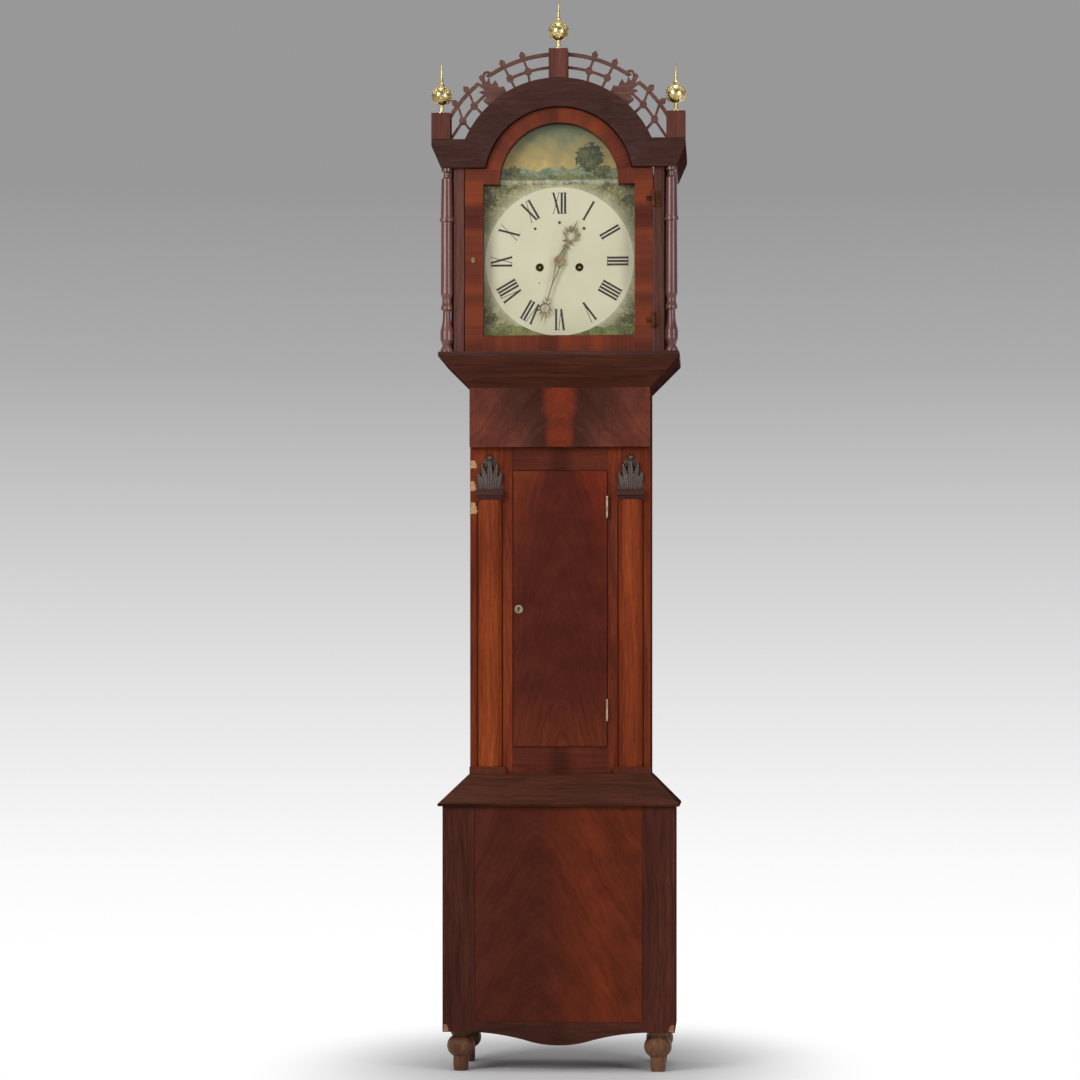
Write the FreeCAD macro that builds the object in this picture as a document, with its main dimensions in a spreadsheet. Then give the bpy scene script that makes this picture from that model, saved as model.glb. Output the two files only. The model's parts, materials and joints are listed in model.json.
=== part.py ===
import FreeCAD
import Part
import Sketcher
import math
import os
import re

# Longcase clock with an eight-day striking movement, in millimetres.
# X runs to the clock's right hand side as seen from the front, Y runs back to the wall, Z up.
# The origin lies on the floor under the middle of the clock.

SIZES = {
    # Feet and base
    "foot_height": 86, "foot_tip_radius": 15, "foot_ankle_radius": 16.5, "foot_ankle_rise": 32,
    "foot_bulb_radius": 30, "foot_neck_radius": 18, "foot_neck_rise": 75, "foot_collar_radius": 21.5,
    "foot_collar_height": 6, "foot_inset": 37,
    "base_width": 500, "base_depth": 259, "base_height": 486, "base_board": 18, "base_floor": 15,
    "base_front_thickness": 20, "base_stile_width": 69, "base_panel_recess": 2, "base_rail_height": 22,
    "apron_drop": 28, "apron_turn_share": 0.4, "apron_turn_drop": 0.6, "apron_bend": 3,
    "base_moulding_height": 69, "base_lip_projection": 10, "base_lip_height": 5,
    # Trunk
    "trunk_width": 392, "trunk_depth": 205, "trunk_height": 836, "trunk_board": 16, "trunk_tenon": 40,
    "trunk_panel_recess": 20, "trunk_front_thickness": 15, "backboard_thickness": 12,
    "frieze_height": 128, "top_rail_height": 50, "bottom_rail_height": 58, "aperture_width": 205,
    "column_offset": 153, "column_width": 52, "column_projection": 18, "column_height": 579,
    "column_plinth_width": 78, "column_plinth_height": 15,
    "capital_cove_height": 6, "capital_bar_width": 61, "capital_bar_height": 17,
    "capital_bar_projection": 20, "capital_leaf_width": 58, "capital_leaf_height": 77,
    "capital_leaf_projection": 15, "capital_bud_width": 21,
    "throat_height": 63, "throat_projection": 63,
    # Trunk door with its hinges and lock
    "door_gap": 1, "door_proud": 3, "door_thickness": 16,
    "hinge_length": 48, "hinge_inset": 56, "hinge_leaf": 1.2, "hinge_leaf_depth": 14,
    "knuckle_radius": 3, "knuckle_gap": 0.4, "pin_radius": 1.5, "running_gap": 0.05,
    "escutcheon_radius": 9, "escutcheon_thickness": 1.5, "keyhole_radius": 1.6, "lock_rise": 299,
    "lock_inset": 11.5, "lock_set": 1, "lock_width": 34, "lock_height": 46, "lock_thickness": 12,
    "lock_wall": 2,
    "bolt_height": 14, "bolt_travel": 6, "bolt_gap": 0.3, "bolt_length": 16,
    # Hood
    "hood_base_thickness": 10, "hood_base_front": 56, "hood_clearance": 8.5,
    "hood_width": 447, "hood_board": 19, "hood_height": 398, "hood_setback": 13.5,
    "cornice_width": 508, "cornice_rise": 58, "cornice_bevel": 44, "cornice_flare": 19,
    "cornice_depth": 271, "arch_rise": 368, "cornice_arch_radius": 161,
    "roof_thickness": 8, "roof_gap": 0.5, "shoulder_thickness": 10,
    "plinth_width": 41, "plinth_height": 57, "centre_plinth_rise": 281.5,
    "pillar_offset": 242.5, "pillar_setback": 15, "pillar_base_radius": 14, "pillar_vase_radius": 14,
    "pillar_waist_radius": 8.5, "pillar_shaft_radius": 13, "pillar_top_radius": 11.5,
    "pillar_ring_radius": 15, "pillar_neck_radius": 7, "pillar_cap_radius": 11.5,
    "pillar_lower_length": 120, "pillar_ring_rise": 281, "pillar_ring_height": 11,
    "pillar_cap_height": 7, "pillar_neck_height": 16,
    "finial_flange_radius": 10, "finial_stem_radius": 4, "finial_ball_radius": 20.4,
    "finial_ball_rise": 39.5, "finial_height": 107.5, "finial_tip_radius": 0.8,
    # Fretwork, in radii and angles about the centre of the arch
    "fret_thickness": 8, "fret_outer_radius": 272, "fret_middle_share": 0.4717, "fret_rail": 7.5,
    "fret_bar": 5, "fret_knot_radius": 8, "fret_bud_length": 18, "fret_bud_width": 14,
    "leaf_angle": 36.5, "leaf_spread": 6, "leaf_share": 0.815, "scroll_share": 1.222,
    # Hood door, glass, mask and dial
    "hood_door_gap": 1.5, "hood_door_rail": 35.5, "hood_door_thickness": 20, "hood_door_proud": 1.5,
    "opening_width": 327, "opening_height": 326, "opening_arch_radius": 128,
    "glass_lip": 6, "glass_thickness": 2.5, "glass_gap": 0.5, "rebate_depth": 10,
    "hood_hinge_length": 34, "hood_hinge_inset": 50, "hood_leaf_width": 15, "hood_hinge_reach": 4,
    "plaque_height": 12, "plaque_width": 8, "plaque_thickness": 1.5, "plaque_inset": 17.5,
    "mask_gap": 2, "mask_thickness": 8, "mask_clearance": 1, "dial_gap": 2, "dial_thickness": 2,
    "dial_margin": 4.5, "dial_hole_radius": 9, "dial_foot_radius": 3, "dial_foot_x": 52,
    "dial_foot_z": 55,
    # Movement frame
    "seat_thickness": 20, "seat_gap": 21, "seat_depth": 105, "motion_space": 38, "plate_space": 58,
    "line_slot_width": 12, "line_slot_length": 30, "line_hole_gap": 0.5,
    "plate_thickness": 3, "plate_width": 125, "plate_below": 68, "plate_above": 97,
    "frame_pillar_radius": 5, "frame_pillar_x": 50, "frame_pillar_inset": 7.5,
    "arbor_radius": 1.5, "centre_arbor_radius": 2.4, "barrel_arbor_radius": 4,
    # Trains: modules, tooth counts and where each arbor stands from the one that drives it
    "wheel_thickness": 2.5, "pinion_length": 9, "barrel_x": 43, "barrel_drop": 13,
    "barrel_radius": 20.25, "barrel_length": 29,
    "great_gap": 7.5, "barrel_gap": 2.5, "escape_inset": 9, "third_gap": 1, "pin_gap": 5, "centre_gap": 6,
    "cannon_gap": 9, "hour_gap": 9, "hour_hand_gap": 6, "minute_hand_gap": 4,
    "great_teeth": 96, "pinion_teeth": 8, "centre_teeth": 64, "third_teeth": 60, "escape_teeth": 30,
    "centre_module": 0.9, "third_module": 0.85, "third_x": 9.9, "escape_radius": 18,
    "pallet_rise": 30, "pallet_gap": 1.5,
    "strike_teeth": 84, "strike_module": 0.85, "pin_teeth": 64, "pin_module": 0.62, "pin_x": -43,
    "gathering_teeth": 56, "gathering_module": 0.55, "gathering_x": -56, "warning_pinion_teeth": 8,
    "warning_teeth": 48, "warning_module": 0.55, "warning_x": -44, "fly_pinion_teeth": 7, "fly_x": -32,
    "fly_radius": 10.5, "fly_length": 18, "lift_pin_radius": 1.2, "lift_pin_circle": 17,
    "minute_teeth": 40, "minute_module": 0.8, "minute_arbor_radius": 1.3, "minute_x": -5.6,
    "hour_teeth": 72, "hour_pinion_teeth": 6, "cannon_radius": 4.4, "hour_pipe_radius": 6.6,
    "hand_thickness": 1.2, "minute_hand_length": 143, "minute_hand_angle": 197,
    "hour_hand_length": 99.5, "hour_hand_angle": 24, "boss_radius": 11.5, "hand_bar": 2.6, "hand_stem": 3.2,
    "minute_join_share": 0.34, "minute_crest_share": 0.75, "minute_crest_radius": 11.5,
    "hour_join_share": 0.40, "hour_crest_share": 0.60, "hour_crest_radius": 13,
    # Pendulum, hammer and bell
    "pendulum_length": 994, "pendulum_gap": 36, "rod_radius": 4, "bob_radius": 55,
    "bob_thickness": 32, "spring_length": 70, "spring_width": 8, "spring_thickness": 0.8,
    "nut_radius": 9, "nut_height": 8, "nut_gap": 0.5, "thread_radius": 2.5, "rod_tail": 12,
    "crutch_length": 110, "crutch_gap": 4.5, "crutch_thickness": 2.5, "fork_gap": 0.3,
    "cock_arm": 8, "cock_rise": 6, "cock_width": 18, "cock_tail": 8, "lug_gap": 10, "lug_thickness": 4,
    "hammer_x": -58, "hammer_rise": 72, "hammer_head_radius": 5, "hammer_gap": 1.5,
    "bell_radius": 38, "bell_height": 30, "bell_wall": 2.5, "bell_x": -16, "bell_rim_rise": 116,
    "bell_post_radius": 3, "bell_arm_thickness": 4, "bell_foot_drop": 30, "bell_foot_height": 10,
    "hammer_head_length": 12,
    # Weights, pulleys and gut lines
    "line_radius": 0.75, "line_gap": 0.3, "line_inset": 2, "weight_radius": 36, "weight_height": 168,
    "weight_bottom": 300, "weight_shoulder": 6, "pulley_radius": 25, "pulley_rim": 28, "pulley_width": 9,
    "pulley_rise": 85, "stirrup_thickness": 2, "stirrup_width": 12, "stirrup_gap": 1, "stirrup_room": 8,
    "stirrup_bar": 4, "axle_radius": 2.5,
}

# Places that follow from the sizes
PLACES = {
    "wall": "cornice_depth / 2",
    "base_half": "base_width / 2", "base_top": "foot_height + base_height",
    "base_front": "wall - base_depth", "base_inside": "base_front + base_front_thickness",
    "trunk_bottom": "base_top + base_moulding_height", "trunk_top": "trunk_bottom + trunk_height",
    "trunk_half": "trunk_width / 2", "trunk_front": "wall - trunk_depth",
    "trunk_panel": "trunk_front + trunk_panel_recess",
    "trunk_inside": "trunk_panel + trunk_front_thickness",
    "trunk_foot": "base_top - trunk_tenon", "backboard_front": "wall - backboard_thickness",
    "frieze_bottom": "trunk_top - frieze_height", "aperture_half": "aperture_width / 2",
    "aperture_top": "frieze_bottom - top_rail_height",
    "aperture_bottom": "trunk_bottom + bottom_rail_height",
    "door_front": "trunk_panel - door_proud", "door_back": "door_front + door_thickness",
    "door_edge": "aperture_half - door_gap",
    "hinge_x": "aperture_half - door_gap / 2", "hinge_y": "door_front - knuckle_radius - knuckle_gap",
    "lock_z": "aperture_bottom + lock_rise", "lock_x": "-(door_edge - lock_inset)",
    "lock_back": "door_back + lock_thickness - lock_recess", "lock_recess": "lock_thickness / 2",
    "lock_edge": "-door_edge + lock_set",
    "column_bottom": "trunk_bottom + column_plinth_height",
    "capital_bottom": "column_bottom + column_height",
    "bar_bottom": "capital_bottom + capital_cove_height",
    "leaf_bottom": "bar_bottom + capital_bar_height",
    "hood_seat": "trunk_top + throat_height", "hood_floor": "hood_seat + hood_base_thickness",
    "throat_half": "trunk_half + throat_projection", "throat_front": "trunk_front - throat_projection",
    "hood_half": "hood_width / 2", "hood_inner": "hood_half - hood_board",
    "cornice_bottom": "hood_floor + hood_height", "cornice_top": "cornice_bottom + cornice_rise",
    "cornice_half": "cornice_width / 2", "cornice_top_half": "cornice_half + cornice_flare",
    "cornice_front": "wall - cornice_depth", "cornice_face": "cornice_front + cornice_flare",
    "hood_front": "cornice_face + hood_setback", "arch_centre": "hood_floor + arch_rise",
    "cornice_outer_radius": "cornice_arch_radius + cornice_rise",
    "fret_rise": "fret_outer_radius - cornice_outer_radius",
    "fret_middle": "cornice_outer_radius + fret_rise * fret_middle_share",
    "roof_radius": "hood_inner - roof_gap", "roof_inner": "roof_radius - roof_thickness",
    "hood_door_front": "hood_front - hood_door_proud",
    "hood_door_back": "hood_door_front + hood_door_thickness",
    "hood_door_half": "hood_inner - hood_door_gap", "hood_door_bottom": "hood_floor + hood_door_gap",
    "hood_door_top": "cornice_bottom - hood_door_gap",
    "hood_door_arch": "cornice_arch_radius - hood_door_gap",
    "hood_hinge_x": "hood_inner - hood_door_gap / 2",
    "hood_hinge_y": "hood_door_front - hood_hinge_reach",
    "opening_half": "opening_width / 2", "opening_bottom": "hood_door_bottom + hood_door_rail",
    "opening_top": "opening_bottom + opening_height",
    "dial_centre": "opening_bottom + opening_height / 2",
    "glass_front": "hood_door_back - rebate_depth",
    "mask_front": "hood_door_back + mask_gap", "mask_back": "mask_front + mask_thickness",
    "dial_front": "mask_back + dial_gap", "dial_back": "dial_front + dial_thickness",
    "plate_front": "dial_back + motion_space", "plate_inside": "plate_front + plate_thickness",
    "plate_rear": "plate_inside + plate_space", "plate_back": "plate_rear + plate_thickness",
    "plate_half": "plate_width / 2", "plate_bottom": "dial_centre - plate_below",
    "plate_top": "dial_centre + plate_above", "seat_bottom": "plate_bottom - seat_thickness",
    "seat_y": "dial_back + seat_gap",
    # Arbors, as offsets from the centre of the dial
    "barrel_z": "dial_centre - barrel_drop",
    "great_distance": "sqrt(barrel_x ^ 2 + barrel_drop ^ 2)",
    "great_module": "2 * great_distance / (great_teeth + pinion_teeth)",
    "third_distance": "centre_module * (centre_teeth + pinion_teeth) / 2",
    "third_z": "dial_centre + sqrt(third_distance ^ 2 - third_x ^ 2)",
    "escape_distance": "third_module * (third_teeth + pinion_teeth) / 2",
    "escape_z": "third_z + sqrt(escape_distance ^ 2 - third_x ^ 2)",
    "pallet_z": "escape_z + pallet_rise",
    "pin_distance": "strike_module * (strike_teeth + pinion_teeth) / 2",
    "pin_z": "barrel_z + sqrt(pin_distance ^ 2 - (pin_x + barrel_x) ^ 2)",
    "gathering_distance": "pin_module * (pin_teeth + pinion_teeth) / 2",
    "gathering_z": "pin_z + sqrt(gathering_distance ^ 2 - (gathering_x - pin_x) ^ 2)",
    "warning_distance": "gathering_module * (gathering_teeth + warning_pinion_teeth) / 2",
    "warning_z": "gathering_z + sqrt(warning_distance ^ 2 - (warning_x - gathering_x) ^ 2)",
    "fly_distance": "warning_module * (warning_teeth + fly_pinion_teeth) / 2",
    "fly_z": "warning_z + sqrt(fly_distance ^ 2 - (fly_x - warning_x) ^ 2)",
    "minute_distance": "minute_module * minute_teeth",
    "minute_z": "dial_centre - sqrt(minute_distance ^ 2 - minute_x ^ 2)",
    "hour_module": "2 * minute_distance / (hour_teeth + hour_pinion_teeth)",
    "hammer_z": "dial_centre + hammer_rise", "bell_rim": "dial_centre + bell_rim_rise",
    # Wheel planes, from front to back between the plates
    "great_y": "plate_inside + great_gap", "barrel_y": "great_y + wheel_thickness + barrel_gap",
    "barrel_end": "barrel_y + barrel_length", "escape_y": "barrel_end - escape_inset",
    "third_y": "barrel_end + third_gap", "pin_y": "third_y + pin_gap", "centre_y": "pin_y + centre_gap",
    "warning_y": "escape_y", "gathering_y": "centre_y",
    "cannon_y": "plate_front - cannon_gap", "hour_y": "cannon_y - hour_gap",
    "hour_hand_y": "dial_front - hour_hand_gap", "minute_hand_y": "hour_hand_y - minute_hand_gap",
    # Pendulum, weights and lines
    "pendulum_back": "plate_back + pendulum_gap", "weight_y": "barrel_end - line_inset",
    "bob_z": "pallet_z - pendulum_length", "rod_bottom": "bob_z - bob_radius - nut_height - rod_tail",
    "nut_z": "bob_z - bob_radius - nut_height - nut_gap",
    "spring_top": "pallet_z + cock_rise + 1 + cock_arm",
    "going_line_x": "barrel_x - barrel_radius - line_radius - line_gap",
    "strike_line_x": "-(barrel_x + barrel_radius + line_radius + line_gap)",
    "pulley_z": "weight_bottom + weight_height + pulley_rise",
}

doc = FreeCAD.newDocument("longcase_clock")
sheet = doc.addObject("Spreadsheet::Sheet", "Sizes")
for row, (alias, number) in enumerate(SIZES.items(), start=1):
    sheet.set(f"A{row}", alias.replace("_", " "))
    sheet.set(f"B{row}", str(number))
    sheet.setAlias(f"B{row}", alias)
doc.recompute()

NAME = re.compile(r"[A-Za-z_][A-Za-z_0-9]*")
NODES = {}


def formula(text):
    """An expression of sheet cells for a text of size and place names."""
    def full(match):
        word = match.group(0)
        if word in PLACES:
            return f"({formula(PLACES[word])})"
        return f"Sizes.{word}" if word in SIZES else word
    return NAME.sub(full, str(text))


def size(text):
    """The number that a text of size and place names comes to."""
    return float(sheet.evalExpression(formula(text).replace("Sizes.", "")))


def bind(thing, **values):
    for path, text in values.items():
        thing.setExpression(path.replace("__", "."), formula(text))
    return thing


def place(thing, x=0, y=0, z=0, turn=None):
    """Put an object at a point, turned about X by an angle in degrees if one is given."""
    if turn:
        thing.Placement = FreeCAD.Placement(FreeCAD.Vector(), FreeCAD.Rotation(FreeCAD.Vector(1, 0, 0), turn))
    return bind(thing, Placement__Base__x=x, Placement__Base__y=y, Placement__Base__z=z)


def block(name, x, y, z):
    """A box between two planes on each axis."""
    box = doc.addObject("Part::Box", name)
    bind(box, Length=f"({x[1]}) - ({x[0]})", Width=f"({y[1]}) - ({y[0]})", Height=f"({z[1]}) - ({z[0]})")
    return place(box, x[0], y[0], z[0])


def upright(name, radius, x, y, z):
    """A cylinder along Z from z[0] to z[1]."""
    rod = doc.addObject("Part::Cylinder", name)
    bind(rod, Radius=radius, Height=f"({z[1]}) - ({z[0]})")
    return place(rod, x, y, z[0])


def crosswise(name, radius, x, y, z):
    """A cylinder along Y from y[0] to y[1]."""
    rod = doc.addObject("Part::Cylinder", name)
    bind(rod, Radius=radius, Height=f"({y[1]}) - ({y[0]})")
    return place(rod, x, y[1], z, turn=90)


def flared(name, z, half, depth):
    """A block on the wall plane whose sides and front lean from half[0], depth[0] to half[1], depth[1]."""
    wedge = doc.addObject("Part::Wedge", name)
    bind(wedge, Xmin=f"-({half[0]})", Xmax=half[0], X2min=f"-({half[1]})", X2max=half[1],
         Ymin=0, Ymax=f"({z[1]}) - ({z[0]})", Zmin=0, Zmax=depth[0], Z2min=0, Z2max=depth[1])
    return place(wedge, 0, "wall", z[0], turn=90)


def cut(name, base, *tools):
    result = doc.addObject("Part::Cut", name)
    result.Base = base
    result.Tool = tools[0] if len(tools) == 1 else group(f"{name}_tools", *tools)
    return result


def fuse(name, *pieces):
    result = doc.addObject("Part::MultiFuse", name)
    result.Shapes = list(pieces)
    result.Refine = True
    return result


def group(name, *pieces):
    result = doc.addObject("Part::Compound", name)
    result.Links = list(pieces)
    return result


def mirrored(piece):
    """The same piece on the other side of the clock."""
    twin = doc.addObject("Part::Mirroring", f"{piece.Name}_twin")
    twin.Source = piece
    twin.Normal = FreeCAD.Vector(1, 0, 0)
    return twin


def node(label, *pieces):
    """Name a sub-part, which is one object or a group of separate solids."""
    thing = pieces[0] if len(pieces) == 1 else group(f"{label}_group", *pieces)
    thing.Label = label
    NODES[label] = thing
    return thing


def sketch_on(body, plane_role, *loops):
    """A fully dimensioned sketch: a loop is (u, v) corners, or (u, v, bulge) where an arc follows,
    or one (u, v, radius) circle given as a tuple."""
    sketch = body.newObject("Sketcher::SketchObject", f"{body.Name}_sketch")
    plane = next(f for f in body.Origin.OriginFeatures if f.Role == plane_role)
    sketch.AttachmentSupport = [(plane, "")]
    sketch.MapMode = "FlatFace"
    for loop in loops:
        if isinstance(loop, tuple):
            draw_circle(sketch, *loop)
        else:
            draw_loop(sketch, loop)
    return sketch


def dimension(sketch, kind, text, *references):
    index = sketch.addConstraint(Sketcher.Constraint(kind, *references, size(text)))
    sketch.setExpression(f"Constraints[{index}]", formula(text))


def draw_circle(sketch, u, v, radius):
    centre = FreeCAD.Vector(size(u), size(v), 0)
    index = sketch.addGeometry(Part.Circle(centre, FreeCAD.Vector(0, 0, 1), size(radius)), False)
    dimension(sketch, "DistanceX", u, -1, 1, index, 3)
    dimension(sketch, "DistanceY", v, -1, 1, index, 3)
    dimension(sketch, "Radius", radius, index)


def bent_edge(start, end, bulge):
    """An arc from start to end that swells by the bulge to the right, or to the left below zero."""
    along = end - start
    outward = FreeCAD.Vector(along.y, -along.x, 0).normalize()
    radius = along.Length ** 2 / (8 * bulge) + bulge / 2
    centre = (start + end) * 0.5 + outward * (bulge - radius)
    first, last = (start, end) if bulge > 0 else (end, start)
    angles = [math.atan2(point.y - centre.y, point.x - centre.x) for point in (first, last)]
    if angles[1] < angles[0]:
        angles[1] += 2 * math.pi
    return Part.ArcOfCircle(Part.Circle(centre, FreeCAD.Vector(0, 0, 1), abs(radius)), *angles)


def draw_loop(sketch, loop):
    corners = [FreeCAD.Vector(size(point[0]), size(point[1]), 0) for point in loop]
    first = sketch.GeometryCount
    starts = []
    for here, (point, corner) in enumerate(zip(loop, corners)):
        following = corners[(here + 1) % len(loop)]
        if len(point) == 3:
            sketch.addGeometry(bent_edge(corner, following, size(point[2])), False)
            starts.append(1 if size(point[2]) > 0 else 2)
        else:
            sketch.addGeometry(Part.LineSegment(corner, following), False)
            starts.append(1)
    for here in range(len(loop)):
        following = (here + 1) % len(loop)
        sketch.addConstraint(Sketcher.Constraint("Coincident", first + here, 3 - starts[here],
                                                 first + following, starts[following]))
    for here, point in enumerate(loop):
        dimension(sketch, "DistanceX", point[0], -1, 1, first + here, starts[here])
        dimension(sketch, "DistanceY", point[1], -1, 1, first + here, starts[here])
        if len(point) == 3:
            centre_arc(sketch, first + here, point, loop[(here + 1) % len(loop)])


def centre_arc(sketch, index, point, following):
    """Fix an arc between two set ends by its centre, measured across the longer way of its chord."""
    du, dv = f"(({following[0]}) - ({point[0]}))", f"(({following[1]}) - ({point[1]}))"
    chord = f"({du} ^ 2 + {dv} ^ 2)"
    offset = f"((({point[2]}) / 2 - {chord} / (8 * ({point[2]}))) / sqrt{chord})"
    if abs(size(du)) >= abs(size(dv)):
        dimension(sketch, "DistanceY", f"({point[1]}) + {dv} / 2 - {du} * {offset}", -1, 1, index, 3)
    else:
        dimension(sketch, "DistanceX", f"({point[0]}) + {du} / 2 + {dv} * {offset}", -1, 1, index, 3)


def panel(name, y, *loops):
    """A flat piece with front and back faces at y[0] and y[1], from loops in X and Z."""
    body = doc.addObject("PartDesign::Body", name)
    pad = body.newObject("PartDesign::Pad", f"{name}_pad")
    pad.Profile = sketch_on(body, "XZ_Plane", *loops)
    bind(pad, Length=f"({y[1]}) - ({y[0]})")
    body.Tip = pad
    return place(body, 0, y[1], 0)


def post(name, z, loop):
    """A piece of constant plan from z[0] to z[1], from a loop in X and Y."""
    body = doc.addObject("PartDesign::Body", name)
    pad = body.newObject("PartDesign::Pad", f"{name}_pad")
    pad.Profile = sketch_on(body, "XY_Plane", loop)
    bind(pad, Length=f"({z[1]}) - ({z[0]})")
    body.Tip = pad
    return place(body, 0, 0, z[0])


def turned(name, profile, x, y, z, turn=None):
    """A lathe-turned piece: a profile of radius and height about its own axis."""
    body = doc.addObject("PartDesign::Body", name)
    sketch = sketch_on(body, "XZ_Plane", profile)
    solid = body.newObject("PartDesign::Revolution", f"{name}_turning")
    solid.Profile = sketch
    solid.ReferenceAxis = (sketch, ["V_Axis"])
    solid.Angle = 360
    body.Tip = solid
    return place(body, x, y, z, turn)


def feature(name, shape, x=0, y=0, z=0, turn=90):
    """A piece whose shape lies in X and Z, with its own third axis pointing to the front."""
    thing = doc.addObject("Part::Feature", name)
    thing.Shape = shape
    turned_over = FreeCAD.Rotation(FreeCAD.Vector(1, 0, 0), turn)
    thing.Placement = FreeCAD.Placement(FreeCAD.Vector(size(x), size(y), size(z)), turned_over)
    return thing


def break_arch(half, bottom, top, radius):
    """The outline of a square with an arch on it, about the centre of the arch."""
    rise = f"(({top}) - arch_centre)"
    spring = f"sqrt(({radius}) ^ 2 - {rise} ^ 2)"
    return [(f"-({half})", bottom), (half, bottom), (half, top), (spring, top, f"({radius}) - {rise}"),
            (f"-{spring}", top), (f"-({half})", top)]


# Base

def turned_feet():
    profile = [(0, 0), ("foot_tip_radius", 0), ("foot_ankle_radius", "foot_ankle_rise / 3"),
               ("foot_ankle_radius", "foot_ankle_rise",
                "foot_bulb_radius - (foot_ankle_radius + foot_neck_radius) / 2"),
               ("foot_neck_radius", "foot_neck_rise"),
               ("foot_collar_radius", "foot_height - foot_collar_height"),
               ("foot_collar_radius", "foot_height"), (0, "foot_height")]
    feet = []
    for side, x in (("left", "-(base_half - foot_inset)"), ("right", "base_half - foot_inset")):
        for end, y in (("front", "base_front + foot_inset"), ("rear", "wall - foot_inset")):
            feet.append(turned(f"{end}_{side}_foot", profile, x, y, 0))
    node("turned_feet", *feet)


def base_carcass():
    side = block("base_side", ("base_half - base_board", "base_half"), ("base_inside", "wall"),
                 ("foot_height", "base_top"))
    inner = "base_half - base_board"
    floor = block("base_floor_board", (f"-({inner})", inner), ("base_inside", "backboard_front"),
                  ("foot_height", "foot_height + base_floor"))
    node("base_carcass", side, mirrored(side), floor)


def base_front():
    inner = "base_half - base_stile_width"
    depth = ("base_front", "base_inside")
    stile = block("base_stile", (inner, "base_half"), depth, ("foot_height", "base_top"))
    rail_top = "foot_height + base_rail_height"
    turn_x = f"({inner}) * apron_turn_share"
    turn_z = "foot_height - apron_drop * apron_turn_drop"
    apron = [(f"-({inner})", "foot_height", "-apron_bend"), (f"-({turn_x})", turn_z, "apron_bend"),
             (0, "foot_height - apron_drop", "apron_bend"), (turn_x, turn_z, "-apron_bend"),
             (inner, "foot_height"), (inner, rail_top), (f"-({inner})", rail_top)]
    node("base_frame", stile, mirrored(stile), panel("apron_board", depth, apron))
    node("base_front_panel", block("base_panel_board", (f"-({inner})", inner),
                                   ("base_front + base_panel_recess", "base_inside"), (rail_top, "base_top")))


def moulding_ring(label, parts, opening_z):
    """A moulding round the front and sides of the trunk, mitred at the corners into three lengths."""
    ring = parts[0] if len(parts) == 1 else fuse(f"{label}_blank", *parts)
    core = block(f"{label}_core", ("-trunk_half", "trunk_half"), ("trunk_front", "wall + 1"), opening_z)
    hollow = cut(f"{label}_ring", ring, core)
    reach = "base_width"
    corner_y = "trunk_front"
    front_zone = [("-trunk_half", corner_y), (f"-(trunk_half + {reach})", f"{corner_y} - {reach}"),
                  (f"trunk_half + {reach}", f"{corner_y} - {reach}"), ("trunk_half", corner_y)]
    zone = post(f"{label}_front_zone", opening_z, front_zone)
    front = doc.addObject("Part::Common", f"{label}_front")
    front.Base = hollow
    front.Tool = zone
    return front, cut(f"{label}_sides", hollow, zone)


def base_moulding():
    lip_half = "base_half + base_lip_projection"
    lip_depth = "base_depth + base_lip_projection"
    lip_top = "base_top + base_lip_height"
    lip = flared("base_lip", ("base_top", lip_top), (lip_half, lip_half), (lip_depth, lip_depth))
    bevel = flared("base_bevel", (lip_top, "trunk_bottom"), (lip_half, "trunk_half"),
                   (lip_depth, "trunk_depth"))
    node("base_moulding", *moulding_ring("base_mould", [lip, bevel], ("base_top - 1", "trunk_bottom + 1")))


# Trunk

def backboard():
    low, high = "base_half - base_board", "trunk_half"
    top = "roof_inner - mask_clearance"
    step = "arch_centre - mask_clearance"
    outline = [(f"-({low})", "foot_height"), (low, "foot_height"), (low, "base_top"), (high, "base_top"),
               (high, step), (top, step), (top, "arch_centre", top), (f"-({top})", "arch_centre"),
               (f"-({top})", step), (f"-{high}", step), (f"-{high}", "base_top"), (f"-({low})", "base_top")]
    node("backboard", panel("back_boarding", ("backboard_front", "wall"), outline))


def trunk_sides():
    side = block("trunk_side", ("trunk_half - trunk_board", "trunk_half"),
                 ("trunk_inside", "backboard_front"),
                 ("trunk_foot", "seat_bottom"))
    node("trunk_sides", side, mirrored(side))


def hinge_recess(name, z, x):
    return block(name, x, ("hinge_y", "trunk_panel + hinge_leaf_depth"),
                 (z, f"({z}) + hinge_length"))


HINGE_FEET = ("aperture_bottom + hinge_inset", "aperture_top - hinge_inset - hinge_length")


def trunk_front_frame():
    depth = ("trunk_panel", "trunk_inside")
    stile_z = ("trunk_foot", "frieze_bottom")
    left = block("left_trunk_stile", ("-trunk_half", "-aperture_half"), depth, stile_z)
    mortise = block("bolt_mortise", ("-aperture_half - bolt_travel - 1", "-aperture_half + 1"),
                    ("door_back - bolt_gap", "trunk_inside + 1"),
                    ("lock_z - bolt_height / 2 - bolt_gap", "lock_z + bolt_height / 2 + bolt_gap"))
    right = block("right_trunk_stile", ("aperture_half", "trunk_half"), depth, stile_z)
    leaf_x = ("aperture_half - door_gap", "aperture_half + hinge_leaf")
    recesses = [hinge_recess(f"stile_recess_{n}", z, leaf_x) for n, z in enumerate(HINGE_FEET)]
    rail_x = ("-aperture_half", "aperture_half")
    top = block("trunk_top_rail", rail_x, depth, ("aperture_top", "frieze_bottom"))
    bottom = block("trunk_bottom_rail", rail_x, depth, ("trunk_foot", "aperture_bottom"))
    node("trunk_front_frame", cut("left_stile_cut", left, mortise), cut("right_stile_cut", right, *recesses),
         top, bottom)
    node("trunk_frieze", block("frieze_board", ("-trunk_half", "trunk_half"), ("trunk_front", "trunk_inside"),
                               ("frieze_bottom", "hood_seat")))


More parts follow.
